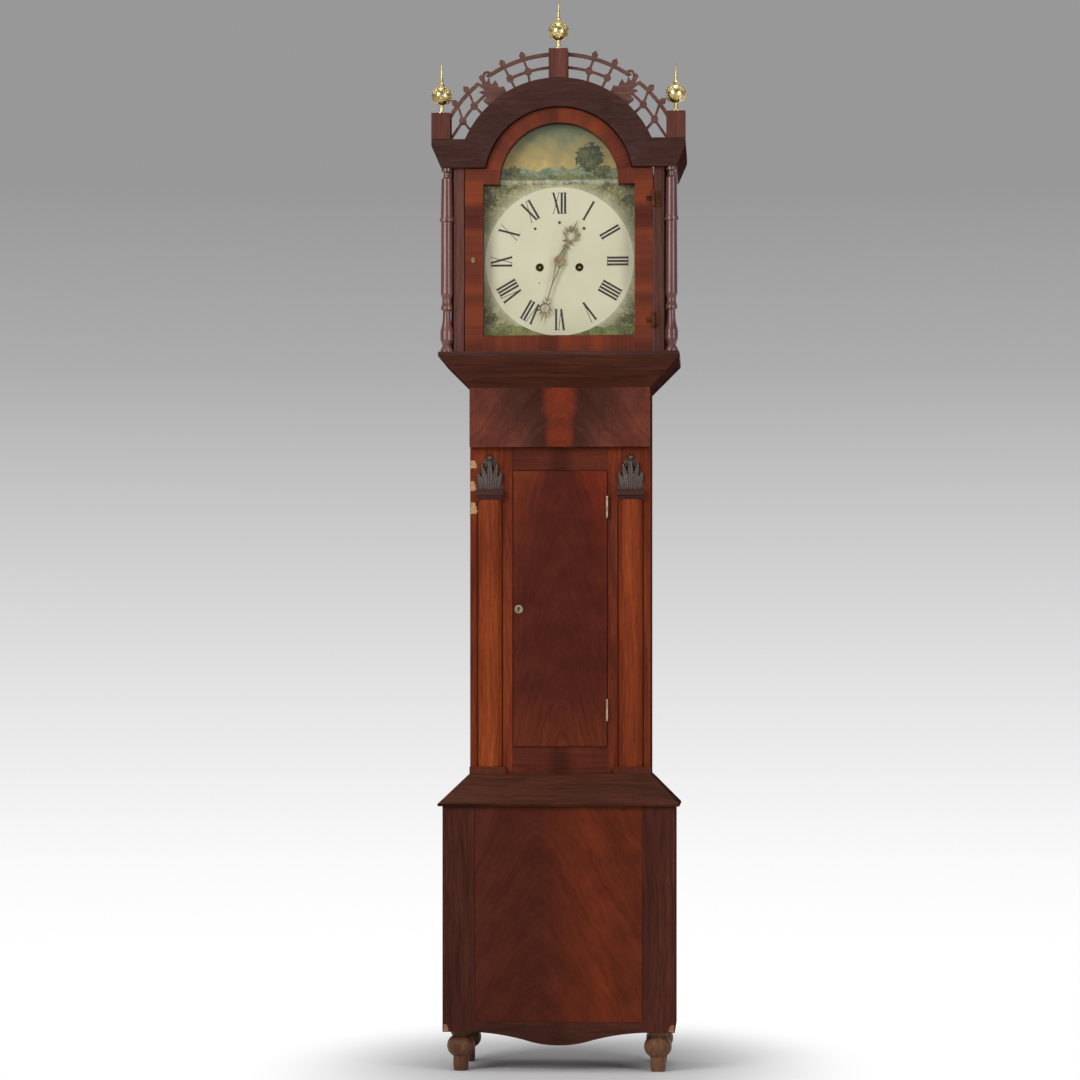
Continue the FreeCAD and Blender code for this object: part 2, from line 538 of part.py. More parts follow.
def trunk_columns():
    left, right = "column_offset - column_width / 2", "column_offset + column_width / 2"
    section = [(right, "trunk_panel"), (left, "trunk_panel", "column_projection")]
    shaft = post("half_column", ("column_bottom", "capital_bottom"), section)
    plinth = block("column_plinth", ("trunk_half - column_plinth_width", "trunk_half"),
                   ("trunk_front", "trunk_panel"), ("trunk_bottom", "column_bottom"))
    node("trunk_columns", shaft, mirrored(shaft), plinth, mirrored(plinth))


def column_capitals():
    left, right = "column_offset - column_width / 2", "column_offset + column_width / 2"
    section = [(right, "trunk_panel"), (left, "trunk_panel", "capital_bar_projection")]
    cove = post("capital_cove", ("capital_bottom", "bar_bottom"), section)
    bar_x = ("column_offset - capital_bar_width / 2", "column_offset + capital_bar_width / 2")
    bar = block("capital_bar", bar_x, ("trunk_panel - capital_bar_projection", "trunk_panel"),
                ("bar_bottom", "leaf_bottom"))
    wide, bud = "capital_leaf_width / 2", "capital_bud_width / 2"
    shoulder = "leaf_bottom + capital_leaf_height * 0.42"
    neck = "leaf_bottom + capital_leaf_height - capital_bud_width / 2"
    outline = [(f"column_offset - {wide}", "leaf_bottom"), (f"column_offset + {wide}", "leaf_bottom"),
               (f"column_offset + {wide}", shoulder, "capital_bud_width / 6"),
               (f"column_offset + {bud}", neck, bud),
               (f"column_offset - {bud}", neck, "capital_bud_width / 6"),
               (f"column_offset - {wide}", shoulder)]
    leaf = panel("capital_leaf", ("trunk_panel - capital_leaf_projection", "trunk_panel"), outline)
    capital = fuse("carved_capital", cove, bar, leaf)
    node("column_capitals", capital, mirrored(capital))


def throat_moulding():
    bevel = flared("throat_bevel", ("trunk_top", "hood_seat"), ("trunk_half", "throat_half"),
                   ("trunk_depth", "trunk_depth + throat_projection"))
    node("throat_moulding", *moulding_ring("throat_mould", [bevel], ("trunk_top - 1", "hood_seat + 1")))


def seatboard():
    y = ("seat_y", "seat_y + seat_depth")
    board = block("seat_plank", ("-trunk_half", "trunk_half"), y, ("seat_bottom", "plate_bottom"))
    through = ("seat_bottom - 1", "plate_bottom + 1")
    cuts = []
    for side, sign in (("going", 1), ("strike", -1)):
        wide, long = "line_slot_width / 2", "line_slot_length / 2"
        cuts.append(block(f"{side}_line_slot", (f"{side}_line_x - {wide}", f"{side}_line_x + {wide}"),
                          (f"weight_y - {long}", f"weight_y + {long}"), through))
        cuts.append(upright(f"{side}_line_hole", "line_radius + line_hole_gap",
                            f"{side}_line_x + {2 * sign} * pulley_radius", "weight_y", through))
    node("seatboard", cut("seat_board_cut", board, *cuts))


# Trunk door with its hinges and lock

def knuckles(name, x, y, radius, spans):
    """Barrel lengths of a hinge on its axis."""
    return [upright(f"{name}_knuckle_{n}", radius, x, y, span) for n, span in enumerate(spans)]


def hinge_spans(foot, length):
    """Heights of the fixed lower and upper knuckles and of the moving one between them."""
    third = f"({length}) / 3"
    low = (foot, f"({foot}) + {third} - running_gap")
    middle = (f"({foot}) + {third} + running_gap", f"({foot}) + 2 * {third} - running_gap")
    high = (f"({foot}) + 2 * {third} + running_gap", f"({foot}) + {length}")
    return low, middle, high


def trunk_hinges():
    fixed, moving = [], []
    leaf_y = ("hinge_y", "trunk_panel + hinge_leaf_depth")
    for n, foot in enumerate(HINGE_FEET):
        low, middle, high = hinge_spans(foot, "hinge_length")
        pin = upright(f"hinge_pin_{n}", "pin_radius", "hinge_x", "hinge_y",
                      (foot, f"({foot}) + hinge_length"))
        plates = [block(f"stile_leaf_{n}_{m}", ("hinge_x", "aperture_half + hinge_leaf"), leaf_y, span)
                  for m, span in enumerate((low, high))]
        core = block(f"stile_leaf_{n}", ("aperture_half", "aperture_half + hinge_leaf"),
                     ("trunk_panel", leaf_y[1]), (foot, f"({foot}) + hinge_length"))
        spare = block(f"stile_leaf_relief_{n}", ("hinge_x - door_gap", "aperture_half"),
                      ("trunk_panel", "trunk_panel + 2 * hinge_leaf_depth"),
                      (foot, f"({foot}) + hinge_length"))
        barrels = knuckles(f"stile_hinge_{n}", "hinge_x", "hinge_y", "knuckle_radius", (low, high))
        fixed.append(fuse(f"stile_hinge_{n}", pin, core, *barrels,
                          *[cut(f"stile_leaf_cut_{n}_{m}", plate, spare) for m, plate in enumerate(plates)]))
        plate = block(f"door_leaf_{n}", ("door_edge - hinge_leaf", "door_edge"),
                      ("hinge_y", "trunk_panel + hinge_leaf_depth"), middle)
        barrel = knuckles(f"door_hinge_{n}", "hinge_x", "hinge_y", "knuckle_radius", (middle,))[0]
        bore = upright(f"door_hinge_bore_{n}", "pin_radius + running_gap", "hinge_x", "hinge_y",
                       (f"({foot}) - 1", f"({foot}) + hinge_length + 1"))
        moving.append(cut(f"door_hinge_cut_{n}", fuse(f"door_hinge_blank_{n}", plate, barrel), bore))
    node("trunk_hinge_plates", *fixed)
    node("trunk_door_hinges", *moving)


def trunk_door():
    slab = block("door_slab", ("-door_edge", "door_edge"), ("door_front", "door_back"),
                 ("aperture_bottom + door_gap", "aperture_top - door_gap"))
    spans = [hinge_spans(foot, "hinge_length")[1] for foot in HINGE_FEET]
    recesses = [block(f"door_recess_{n}", ("door_edge - hinge_leaf", "door_edge + 1"),
                      ("hinge_y", "trunk_panel + hinge_leaf_depth"), span) for n, span in enumerate(spans)]
    lock = block("lock_recess_cut", ("-door_edge - 1", "lock_edge + lock_width"),
                 ("door_back - lock_recess", "door_back + 1"),
                 ("lock_z - lock_height / 2", "lock_z + lock_height / 2"))
    keyway = crosswise("door_keyway", "keyhole_radius", "lock_x", ("door_front - 1", "door_back"), "lock_z")
    node("trunk_door", cut("door_slab_cut", slab, *recesses, lock, keyway))


def trunk_lock():
    plate = crosswise("escutcheon_disc", "escutcheon_radius", "lock_x",
                      ("door_front - escutcheon_thickness", "door_front"), "lock_z")
    keyhole = crosswise("escutcheon_hole", "keyhole_radius", "lock_x",
                        ("door_front - escutcheon_thickness - 1", "door_front + 1"), "lock_z")
    slit = block("escutcheon_slit", ("lock_x - keyhole_radius / 2", "lock_x + keyhole_radius / 2"),
                 ("door_front - escutcheon_thickness - 1", "door_front + 1"),
                 ("lock_z - 3 * keyhole_radius", "lock_z"))
    escutcheon = cut("escutcheon_cut", plate, keyhole, slit)
    z = ("lock_z - lock_height / 2", "lock_z + lock_height / 2")
    case = block("lock_case", ("lock_edge", "lock_edge + lock_width"),
                 ("door_back - lock_recess", "lock_back"), z)
    bolt_y = ("door_back", "lock_back - lock_wall")
    bolt_z = ("lock_z - bolt_height / 2", "lock_z + bolt_height / 2")
    channel = block("bolt_channel", ("lock_edge - 1", "lock_edge + bolt_length + bolt_gap"),
                    (f"{bolt_y[0]} - bolt_gap", f"{bolt_y[1]} + bolt_gap"),
                    (f"{bolt_z[0]} - bolt_gap", f"{bolt_z[1]} + bolt_gap"))
    node("trunk_lock", cut("lock_case_cut", case, channel), escutcheon)
    node("trunk_lock_bolt", block("lock_bolt", ("lock_edge", "lock_edge + bolt_length"), bolt_y, bolt_z))


# Hood

def hood_base():
    inner = "trunk_half + hood_clearance"
    z = ("hood_seat", "hood_floor")
    back = "throat_front + hood_base_front"
    front = block("hood_front_rail", ("-throat_half", "throat_half"), ("throat_front", back), z)
    side = block("hood_side_rail", (inner, "throat_half"), (back, "wall"), z)
    node("hood_base_frame", front, side, mirrored(side))


def hood_sides():
    side = block("hood_side", ("hood_inner", "hood_half"), ("hood_front", "wall"),
                 ("hood_floor", "cornice_top"))
    node("hood_sides", side, mirrored(side))


def hood_cornice():
    bevel_top = "cornice_bottom + cornice_bevel"
    high = "arch_centre + cornice_outer_radius"
    lip_depth = "cornice_depth"
    bevel = flared("cornice_bevel_block", ("cornice_bottom", bevel_top), ("cornice_half", "cornice_top_half"),
                   ("cornice_depth - cornice_flare", lip_depth))
    lip = flared("cornice_lip_block", (bevel_top, high), ("cornice_top_half", "cornice_top_half"),
                 (lip_depth, lip_depth))
    blank = fuse("cornice_blank", bevel, lip)
    reach = ("-cornice_width", "cornice_width")
    above = block("cornice_above", reach, ("cornice_front - 1", "wall + 1"), ("cornice_top", f"{high} + 1"))
    crown = crosswise("cornice_crown", "cornice_outer_radius", 0, ("cornice_front - 2", "hood_front"),
                      "arch_centre")
    core = block("cornice_core", ("-hood_half", "hood_half"), ("hood_front", "wall + 1"),
                 ("cornice_bottom - 1", f"{high} + 2"))
    arch = crosswise("cornice_arch", "cornice_arch_radius", 0, ("cornice_face", "hood_front + 1"),
                     "arch_centre")
    splay = doc.addObject("Part::Cone", "cornice_splay")
    bind(splay, Radius1="cornice_arch_radius", Radius2="cornice_arch_radius + cornice_bevel",
         Height="cornice_flare")
    place(splay, 0, "cornice_face", "arch_centre", turn=90)
    trim = cut("cornice_trim", above, crown)
    ring = cut("cornice_ring", blank, trim, core, arch, splay)
    reach_y = "cornice_width"
    mitre = [("-hood_half", "hood_front"), (f"-(hood_half + {reach_y})", f"hood_front - {reach_y}"),
             (f"hood_half + {reach_y}", f"hood_front - {reach_y}"), ("hood_half", "hood_front")]
    zone = post("cornice_front_zone", ("cornice_bottom - 2", f"{high} + 2"), mitre)
    front = doc.addObject("Part::Common", "cornice_front_length")
    front.Base = ring
    front.Tool = zone
    node("hood_cornice", front, cut("cornice_side_lengths", ring, zone))


def hood_roof():
    vault = [("roof_radius", "arch_centre", "roof_radius"), ("-roof_radius", "arch_centre"),
             ("-roof_inner", "arch_centre", "-roof_inner"), ("roof_inner", "arch_centre")]
    door_room = block("roof_door_room", ("-hood_inner", "hood_inner"),
                      ("hood_front - 1", "hood_door_back + hood_door_gap"),
                      ("arch_centre - 1", "cornice_bottom"))
    barrel = cut("roof_vault_cut", panel("roof_vault", ("hood_front", "wall"), vault), door_room)
    shoulder = block("roof_shoulder", ("hood_inner - 2 * cornice_flare", "hood_inner"),
                     ("hood_front", "wall"),
                     ("cornice_top - shoulder_thickness", "cornice_top"))
    vault_bore = crosswise("roof_vault_bore", "roof_radius", 0, ("hood_front - 1", "wall + 1"), "arch_centre")
    board = cut("roof_shoulder_cut", shoulder, vault_bore)
    node("hood_roof", barrel, board, mirrored(board))


def plinth_and_finial():
    y = ("cornice_front", "cornice_front + plinth_width")
    corner = block("corner_plinth", ("cornice_top_half - plinth_width", "cornice_top_half"), y,
                   ("cornice_top", "cornice_top + plinth_height"))
    centre_top = "arch_centre + centre_plinth_rise"
    centre = block("centre_plinth_block", ("-plinth_width / 2", "plinth_width / 2"), y,
                   ("arch_centre", centre_top))
    crown = crosswise("plinth_crown", "cornice_outer_radius", 0, ("cornice_front - 1", "wall"), "arch_centre")
    node("finial_plinths", corner, mirrored(corner), cut("centre_plinth", centre, crown))
    half_chord = "sqrt(finial_ball_radius ^ 2 - finial_stem_radius ^ 2)"
    stem, ball = "finial_stem_radius", "finial_ball_rise"
    flange = "finial_flange_radius"
    profile = [(0, 0), (flange, 0), (flange, f"{flange} / 3"), (stem, f"{flange} / 2"),
               (stem, f"{ball} - {half_chord}", f"finial_ball_radius - {stem}"),
               (stem, f"{ball} + {half_chord}"),
               (f"1.6 * {stem}", f"{ball} + finial_ball_radius + {stem}"),
               (f"{stem} / 1.3", f"{ball} + finial_ball_radius + 2 * {stem}"),
               ("finial_tip_radius", "finial_height"), (0, "finial_height")]
    mid_y = "cornice_front + plinth_width / 2"
    seats = (("left", "-(cornice_top_half - plinth_width / 2)", "cornice_top + plinth_height"),
             ("centre", "0", centre_top),
             ("right", "cornice_top_half - plinth_width / 2", "cornice_top + plinth_height"))
    node("brass_finials", *[turned(f"{side}_finial", profile, x, mid_y, z) for side, x, z in seats])


def hood_columns():
    base, vase, waist = "pillar_base_radius", "pillar_vase_radius", "pillar_waist_radius"
    shaft, top, ring = "pillar_shaft_radius", "pillar_top_radius", "pillar_ring_radius"
    lower, mid = "pillar_lower_length", "pillar_ring_rise"
    neck_z = "hood_height - pillar_cap_height - pillar_neck_height"
    profile = [(0, 0), (base, 0), (base, f"{lower} * 0.05"), (f"{waist} + 1", f"{lower} * 0.125"),
               (vase, f"{lower} * 0.23"), (vase, f"{lower} * 0.39", "-2"), (waist, f"{lower} * 0.75"),
               (f"{base} - 1.5", f"{lower} * 0.77"), (f"{base} - 1.5", f"{lower} * 0.83"),
               (f"{waist} + 1.5", f"{lower} * 0.89"), (f"{waist} + 1.5", f"{lower} * 0.96"),
               (shaft, f"{lower} * 1.05"), (f"{top} + 0.5", mid), (ring, f"{mid} + 2"),
               (ring, f"{mid} + pillar_ring_height - 2"), (f"{top} + 1.5", f"{mid} + pillar_ring_height"),
               (top, neck_z), ("pillar_neck_radius", f"{neck_z} + pillar_neck_height / 4"),
               ("pillar_neck_radius", f"{neck_z} + pillar_neck_height * 0.8"),
               ("pillar_cap_radius", "hood_height - pillar_cap_height"), ("pillar_cap_radius", "hood_height"),
               (0, "hood_height")]
    y = "cornice_face + pillar_setback"
    node("hood_columns", *[turned(f"{side}_hood_column", profile, x, y, "hood_floor")
                           for side, x in (("left", "-pillar_offset"), ("right", "pillar_offset"))])


def polar(radius, degrees):
    """A point at a radius and an angle from upright about the centre of the arch."""
    turn = math.radians(degrees)
    return FreeCAD.Vector(radius * math.sin(turn), radius * math.cos(turn), 0)


def sawn(points, thickness):
    """A flat piece from straight-edged corners."""
    return Part.Face(Part.makePolygon(points + points[:1])).extrude(FreeCAD.Vector(0, 0, thickness))


def bent_rail(radius, width, start, end, thickness):
    """A rail bent about the centre of the arch."""
    outer, inner = radius + width / 2, radius - width / 2
    middle = (start + end) / 2
    edges = [Part.Arc(polar(outer, start), polar(outer, middle), polar(outer, end)).toShape(),
             Part.LineSegment(polar(outer, end), polar(inner, end)).toShape(),
             Part.Arc(polar(inner, end), polar(inner, middle), polar(inner, start)).toShape(),
             Part.LineSegment(polar(inner, start), polar(outer, start)).toShape()]
    return Part.Face(Part.Wire(edges)).extrude(FreeCAD.Vector(0, 0, thickness))


def straight_bar(start, end, width, thickness):
    along = end - start
    aside = FreeCAD.Vector(-along.y, along.x, 0).normalize() * (width / 2)
    return sawn([start + aside, end + aside, end - aside, start - aside], thickness)


def fretwork():
    """Sawn tracery between the plinths: two bent rails, radial bars with knots and buds, and a leaf."""
    thick, rail, bar = size("fret_thickness"), size("fret_rail"), size("fret_bar")
    outer, middle = size("fret_outer_radius"), size("fret_middle")
    seat = size("cornice_outer_radius") - 1
    rise = outer - seat
    leaf, spread = size("leaf_angle"), size("leaf_spread")
    first = math.degrees(math.asin((size("plinth_width") / 2 - 0.5) / outer))
    corner = FreeCAD.Vector(size("cornice_top_half - plinth_width"), size("cornice_top - arch_centre"), 0)
    plinth_top = corner.y + size("plinth_height")
    last = math.degrees(math.acos(min(1, (plinth_top - rail) / outer)))
    bays = ((16.2, 15.6, 16.6), (25.6, 25.4, 25.1), (45.2, 48.3, 48.6), (53.0, 57.8, 60.0))
    pieces = [bent_rail(outer, rail, first, leaf - spread / 2, thick),
              bent_rail(outer, rail, leaf + spread / 2, last, thick)]
    plinth_edge = math.degrees(math.asin(size("plinth_width") / 2 / middle)) - 0.2
    pieces.append(bent_rail(middle, bar, plinth_edge, bays[1][1], thick))
    pieces.append(bent_rail(middle, bar, leaf + 2, bays[3][1], thick))
    for bud, knot, foot in bays:
        tip, root = polar(outer + size("fret_bud_length"), bud), polar(outer, bud)
        node_point = polar(middle, knot)
        side = polar(1, bud + 90) * (size("fret_bud_width") / 2)
        belly = polar(outer + size("fret_bud_length") * 0.55, bud)
        pieces.append(sawn([root - side * 0.6, belly - side, tip, belly + side, root + side * 0.6], thick))
        pieces.append(straight_bar(root, node_point, bar, thick))
        pieces.append(straight_bar(node_point, polar(seat, foot), bar, thick))
        pieces.append(Part.makeCylinder(size("fret_knot_radius"), thick, node_point))
    pieces.append(straight_bar(polar(middle, bays[3][1]), corner + FreeCAD.Vector(1, bar / 2, 0), bar, thick))
    reach, scroll = seat + rise * size("leaf_share"), seat + rise * size("scroll_share")
    low, notch, high, fork = (seat + rise * share for share in (0.32, 0.41, 0.72, 0.61))
    lobes = [(seat, leaf - spread), (low, leaf - spread - 0.5), (notch, leaf - spread * 0.55),
             (high, leaf - spread * 0.75), (fork, leaf - 1), (outer + rail / 2, leaf - spread / 2 - 0.3),
             (outer - rail / 2, leaf - spread / 2 + 0.6), (reach, leaf + 0.4), (scroll, leaf - 0.6),
             (scroll - 2, leaf + 1.2), (reach, leaf + 1.6), (outer + rail / 2, leaf + spread / 2),
             (outer - rail / 2, leaf + spread / 2 + 0.5), (fork, leaf + 2.4), (high, leaf + spread * 0.9),
             (notch, leaf + spread * 0.6), (low, leaf + spread + 0.8), (seat, leaf + spread)]
    pieces.append(sawn([polar(*lobe) for lobe in lobes], thick))
    half = pieces[0].multiFuse(pieces[1:])
    side = size("cornice_width")
    crown = Part.makeCylinder(size("cornice_outer_radius"), 3 * thick, FreeCAD.Vector(0, 0, -thick))
    centre_plinth = Part.makeBox(size("plinth_width"), 2 * side, 3 * thick,
                                 FreeCAD.Vector(-size("plinth_width") / 2, 0, -thick))
    corner_plinth = Part.makeBox(side, side, 3 * thick, FreeCAD.Vector(corner.x, corner.y, -thick))
    cornice_flat = Part.makeBox(side, side, 3 * thick, FreeCAD.Vector(0, corner.y - side, -thick))
    half = half.cut([crown, centre_plinth, corner_plinth, cornice_flat]).removeSplitter()
    mid_y = "cornice_front + (plinth_width + fret_thickness) / 2"
    right = feature("right_fret", half, 0, mid_y, "arch_centre")
    node("fretwork", right, mirrored(right))


# Hood door, glass, mask and dial

def hood_door():
    y = ("hood_door_front", "hood_door_back")
    outline = break_arch("hood_door_half", "hood_door_bottom", "hood_door_top", "hood_door_arch")
    opening = break_arch("opening_half", "opening_bottom", "opening_top", "opening_arch_radius")
    frame = panel("hood_door_frame", y, outline, opening)
    rebate = break_arch("opening_half + glass_lip", "opening_bottom - glass_lip", "opening_top + glass_lip",
                        "opening_arch_radius + glass_lip")
    relief = panel("glass_rebate", ("glass_front", "hood_door_back + 1"), rebate)
    node("hood_door", cut("hood_door_cut", frame, relief))
    lip = "(glass_lip - glass_gap)"
    pane = break_arch(f"opening_half + {lip}", f"opening_bottom - {lip}", f"opening_top + {lip}",
                      f"opening_arch_radius + {lip}")
    node("hood_glass", panel("glass_pane", ("glass_front", "glass_front + glass_thickness"), pane))
    half_height, half_width = "plaque_height / 2", "plaque_width / 2"
    centre_x = "-(hood_door_half - plaque_inset)"
    plaque = [(centre_x, f"dial_centre - {half_height}", half_width),
              (centre_x, f"dial_centre + {half_height}", half_width)]
    face = ("hood_door_front - plaque_thickness", "hood_door_front")
    node("hood_escutcheon", panel("hood_plaque", face, plaque))


def hood_hinges():
    fixed, moving = [], []
    feet = ("hood_door_bottom + hood_hinge_inset", "hood_door_top - hood_hinge_inset - hood_hinge_length")
    axis = ("hood_hinge_x", "hood_hinge_y")
    for n, foot in enumerate(feet):
        low, middle, high = hinge_spans(foot, "hood_hinge_length")
        whole = (foot, f"({foot}) + hood_hinge_length")
        pin = upright(f"hood_pin_{n}", "pin_radius", *axis, whole)
        barrels = knuckles(f"hood_fixed_{n}", *axis, "knuckle_radius", (low, high))
        webs = [block(f"hood_fixed_web_{n}_{m}", ("hood_hinge_x + running_gap", "hood_inner + hinge_leaf"),
                      ("hood_hinge_y", "hood_front"), span) for m, span in enumerate((low, high))]
        plate = block(f"hood_fixed_leaf_{n}", ("hood_inner", "hood_inner + hood_leaf_width"),
                      ("hood_front - hinge_leaf", "hood_front"), whole)
        fixed.append(fuse(f"hood_fixed_hinge_{n}", pin, plate, *barrels, *webs))
        leaf = block(f"hood_moving_leaf_{n}", ("hood_door_half - hood_leaf_width", "hood_door_half"),
                     ("hood_door_front - hinge_leaf", "hood_door_front"), middle)
        web = block(f"hood_moving_web_{n}", ("hood_door_half - hinge_leaf", "hood_hinge_x"),
                    ("hood_hinge_y", "hood_door_front"), middle)
        barrel = knuckles(f"hood_moving_{n}", *axis, "knuckle_radius", (middle,))[0]
        bore = upright(f"hood_moving_bore_{n}", "pin_radius + running_gap", *axis,
                       (f"({foot}) - 1", f"({foot}) + hood_hinge_length + 1"))
        moving.append(cut(f"hood_moving_cut_{n}", fuse(f"hood_moving_hinge_{n}", leaf, web, barrel), bore))
    node("hood_hinge_plates", *fixed)
    node("hood_door_hinges", *moving)


def hood_mask():
    top = "roof_inner - mask_clearance"
    wide = "hood_inner - mask_clearance"
    step = "arch_centre - mask_clearance"
    outline = [(f"-({wide})", "hood_floor"), (wide, "hood_floor"), (wide, step), (top, step),
               (top, "arch_centre", top), (f"-({top})", "arch_centre"), (f"-({top})", step),
               (f"-({wide})", step)]
    opening = break_arch("opening_half", "opening_bottom", "opening_top", "opening_arch_radius")
    node("hood_mask", panel("mask_board", ("mask_front", "mask_back"), outline, opening))


def dial():
    outline = break_arch("opening_half + dial_margin", "opening_bottom - dial_margin",
                         "opening_top + dial_margin", "opening_arch_radius + dial_margin")
    holes = [(x, z, "dial_hole_radius") for x, z in ((0, "dial_centre"), ("barrel_x", "barrel_z"),
                                                     ("-barrel_x", "barrel_z"))]
    plate = panel("dial_sheet", ("dial_front", "dial_back"), outline, *holes)
    feet = []
    for sign, x in enumerate(("-dial_foot_x", "dial_foot_x")):
        for end, z in enumerate(("dial_centre - dial_foot_z", "dial_centre + dial_foot_z")):
            feet.append(crosswise(f"dial_foot_{sign}{end}", "dial_foot_radius", x,
                                  ("dial_back", "plate_front"), z))
    node("dial", plate, *feet)


# Movement

def tooth_points(teeth, module, phase, top, root, tip_share, root_share):
    """Corners of straight-sided teeth: heights are in modules, shares are half widths in pitches."""
    pitch = 2 * math.pi / teeth
    radius = module * teeth / 2
    corners = []
    for tooth in range(teeth):
        middle = phase + tooth * pitch
        for reach, share in ((-root, -root_share), (top, -tip_share), (top, tip_share), (-root, root_share)):
            turn = middle + share * pitch
            corners.append(FreeCAD.Vector(math.cos(turn), math.sin(turn), 0) * (radius + reach * module))
    return corners


def slab(corners, front, back):
    """Corners made into a plate between two Y planes, in a shape whose third axis points to the front."""
    shift = FreeCAD.Vector(0, 0, -back)
    return sawn([corner + shift for corner in corners], back - front)


def rod_along(radius, front, back):
    return Part.makeCylinder(radius, back - front, FreeCAD.Vector(0, 0, -back))


def toothed_wheel(teeth, module, phase, front, thickness, hub, spokes=4, rim_depth=3.6):
    """A brass wheel with teeth, a rim, a hub and crossings between its spokes."""
    back = front + thickness
    wheel = slab(tooth_points(teeth, module, phase, 0.8, 1.2, 0.10, 0.23), front, back)
    rim = module * (teeth / 2 - rim_depth)
    if rim < hub + 3:
        return wheel
    spoke = 0.16 * rim
    gaps = rod_along(rim, front, back).cut(rod_along(hub, front, back))
    for number in range(spokes // 2):
        arm = Part.makeBox(2 * rim, spoke, thickness, FreeCAD.Vector(-rim, -spoke / 2, -back))
        arm.rotate(FreeCAD.Vector(), FreeCAD.Vector(0, 0, 1), 360 * number / spokes)
        gaps = gaps.cut(arm)
    return wheel.cut(gaps)


def leaf_pinion(teeth, module, phase, front, back):
    return slab(tooth_points(teeth, module, phase, 0.6, 1.25, 0.10, 0.20), front, back)


def towards(here, there):
    """The angle at which one arbor is seen from another."""
    return math.atan2(there[1] - here[1], there[0] - here[0])


def arbor_place(name):
    return size(f"{name}_x"), size(f"{name}_z")


def drive(wheel_name, pinion_name, pinion_teeth):
    """Phases that set a wheel's tooth in a gap of the pinion that it drives."""
    here, there = arbors[wheel_name], arbors[pinion_name]
    angle = towards(here, there)
    return angle, angle + math.pi + math.pi / pinion_teeth


def count(name):
    return int(round(size(name)))


arbors = {"centre": (0.0, size("dial_centre")), "going": (size("barrel_x"), size("barrel_z")),
          "strike": (-size("barrel_x"), size("barrel_z")), "escape": (0.0, size("escape_z")),
          "pallet": (0.0, size("pallet_z"))}
for name in ("third", "pin", "gathering", "warning", "fly", "minute", "hammer"):
    arbors[name] = arbor_place(name)


def arbor_feature(label, arbor, solids):
    """Fuse what is fixed on one arbor and stand it in its place."""
    x, z = arbors[arbor]
    solid = solids[0].multiFuse(solids[1:]) if len(solids) > 1 else solids[0]
    return node(label, feature(f"{label}_solid", solid, x, 0, z))


def going_train():
    thick, leaves, half = size("wheel_thickness"), count("pinion_teeth"), size("pinion_length") / 2
    front, back, pivot = size("plate_front"), size("plate_back"), size("arbor_radius")
    great_y, centre_y, third_y, escape_y = map(size, ("great_y", "centre_y", "third_y", "escape_y"))
    great_middle, third_middle = great_y + thick / 2, third_y + thick / 2
    great_phase, centre_leaf = drive("going", "centre", leaves)
    bore = size("barrel_arbor_radius + running_gap")
    great = toothed_wheel(count("great_teeth"), size("great_module"), great_phase, great_y, thick, bore + 8)
    hole = rod_along(bore, great_y - 1, great_y + thick + 1)
    arbor_feature("going_great_wheel", "going", [great.cut(hole)])

    centre_phase, third_leaf = drive("centre", "third", leaves)
    stem = size("centre_arbor_radius")
    arbor_feature("centre_wheel", "centre", [
        toothed_wheel(count("centre_teeth"), size("centre_module"), centre_phase, centre_y, thick, 7),
        leaf_pinion(leaves, size("great_module"), centre_leaf, great_middle - half, great_middle + half),
        rod_along(stem, size("minute_hand_y") - 2, great_y), rod_along(pivot, great_y, back)])

    third_phase, escape_leaf = drive("third", "escape", leaves)
    arbor_feature("third_wheel", "third", [
        toothed_wheel(count("third_teeth"), size("third_module"), third_phase, third_y, thick, 6),
        leaf_pinion(leaves, size("centre_module"), third_leaf, centre_y + thick / 2 - half / 2,
                    size("plate_rear") - 0.5),
        rod_along(pivot, front, back)])

    radius = size("escape_radius")
    pitch = 2 * math.pi / count("escape_teeth")
    saw = []
    for tooth in range(count("escape_teeth")):
        for reach, share in ((0.8, 0.0), (1.0, 0.42), (1.0, 0.5), (0.8, 0.62)):
            turn = (tooth + share) * pitch
            saw.append(FreeCAD.Vector(math.cos(turn), math.sin(turn), 0) * (radius * reach))
    rim = rod_along(0.66 * radius, escape_y, escape_y + thick).cut(rod_along(4, escape_y, escape_y + thick))
    for number in range(2):
        arm = Part.makeBox(2 * radius, 2.6, thick, FreeCAD.Vector(-radius, -1.3, -escape_y - thick))
        arm.rotate(FreeCAD.Vector(), FreeCAD.Vector(0, 0, 1), 90 * number)
        rim = rim.cut(arm)
    arbor_feature("escape_wheel", "escape", [
        slab(saw, escape_y, escape_y + thick).cut(rim),
        leaf_pinion(leaves, size("third_module"), escape_leaf, third_middle - half, third_middle + half),
        rod_along(pivot, front, back)])


def barrels():
    square = size("barrel_arbor_radius") * 1.2
    for side, arbor in (("going", "going"), ("strike", "strike")):
        drum = rod_along(size("barrel_radius"), size("barrel_y"), size("barrel_end"))
        arbor_rod = rod_along(size("barrel_arbor_radius"), size("plate_front") - 4, size("plate_back"))
        start = size("dial_front") + 1
        end = size("plate_front") - 4
        winding = Part.makeBox(square, square, end - start, FreeCAD.Vector(-square / 2, -square / 2, -end))
        arbor_feature(f"{side}_barrel", arbor, [drum, arbor_rod, winding])


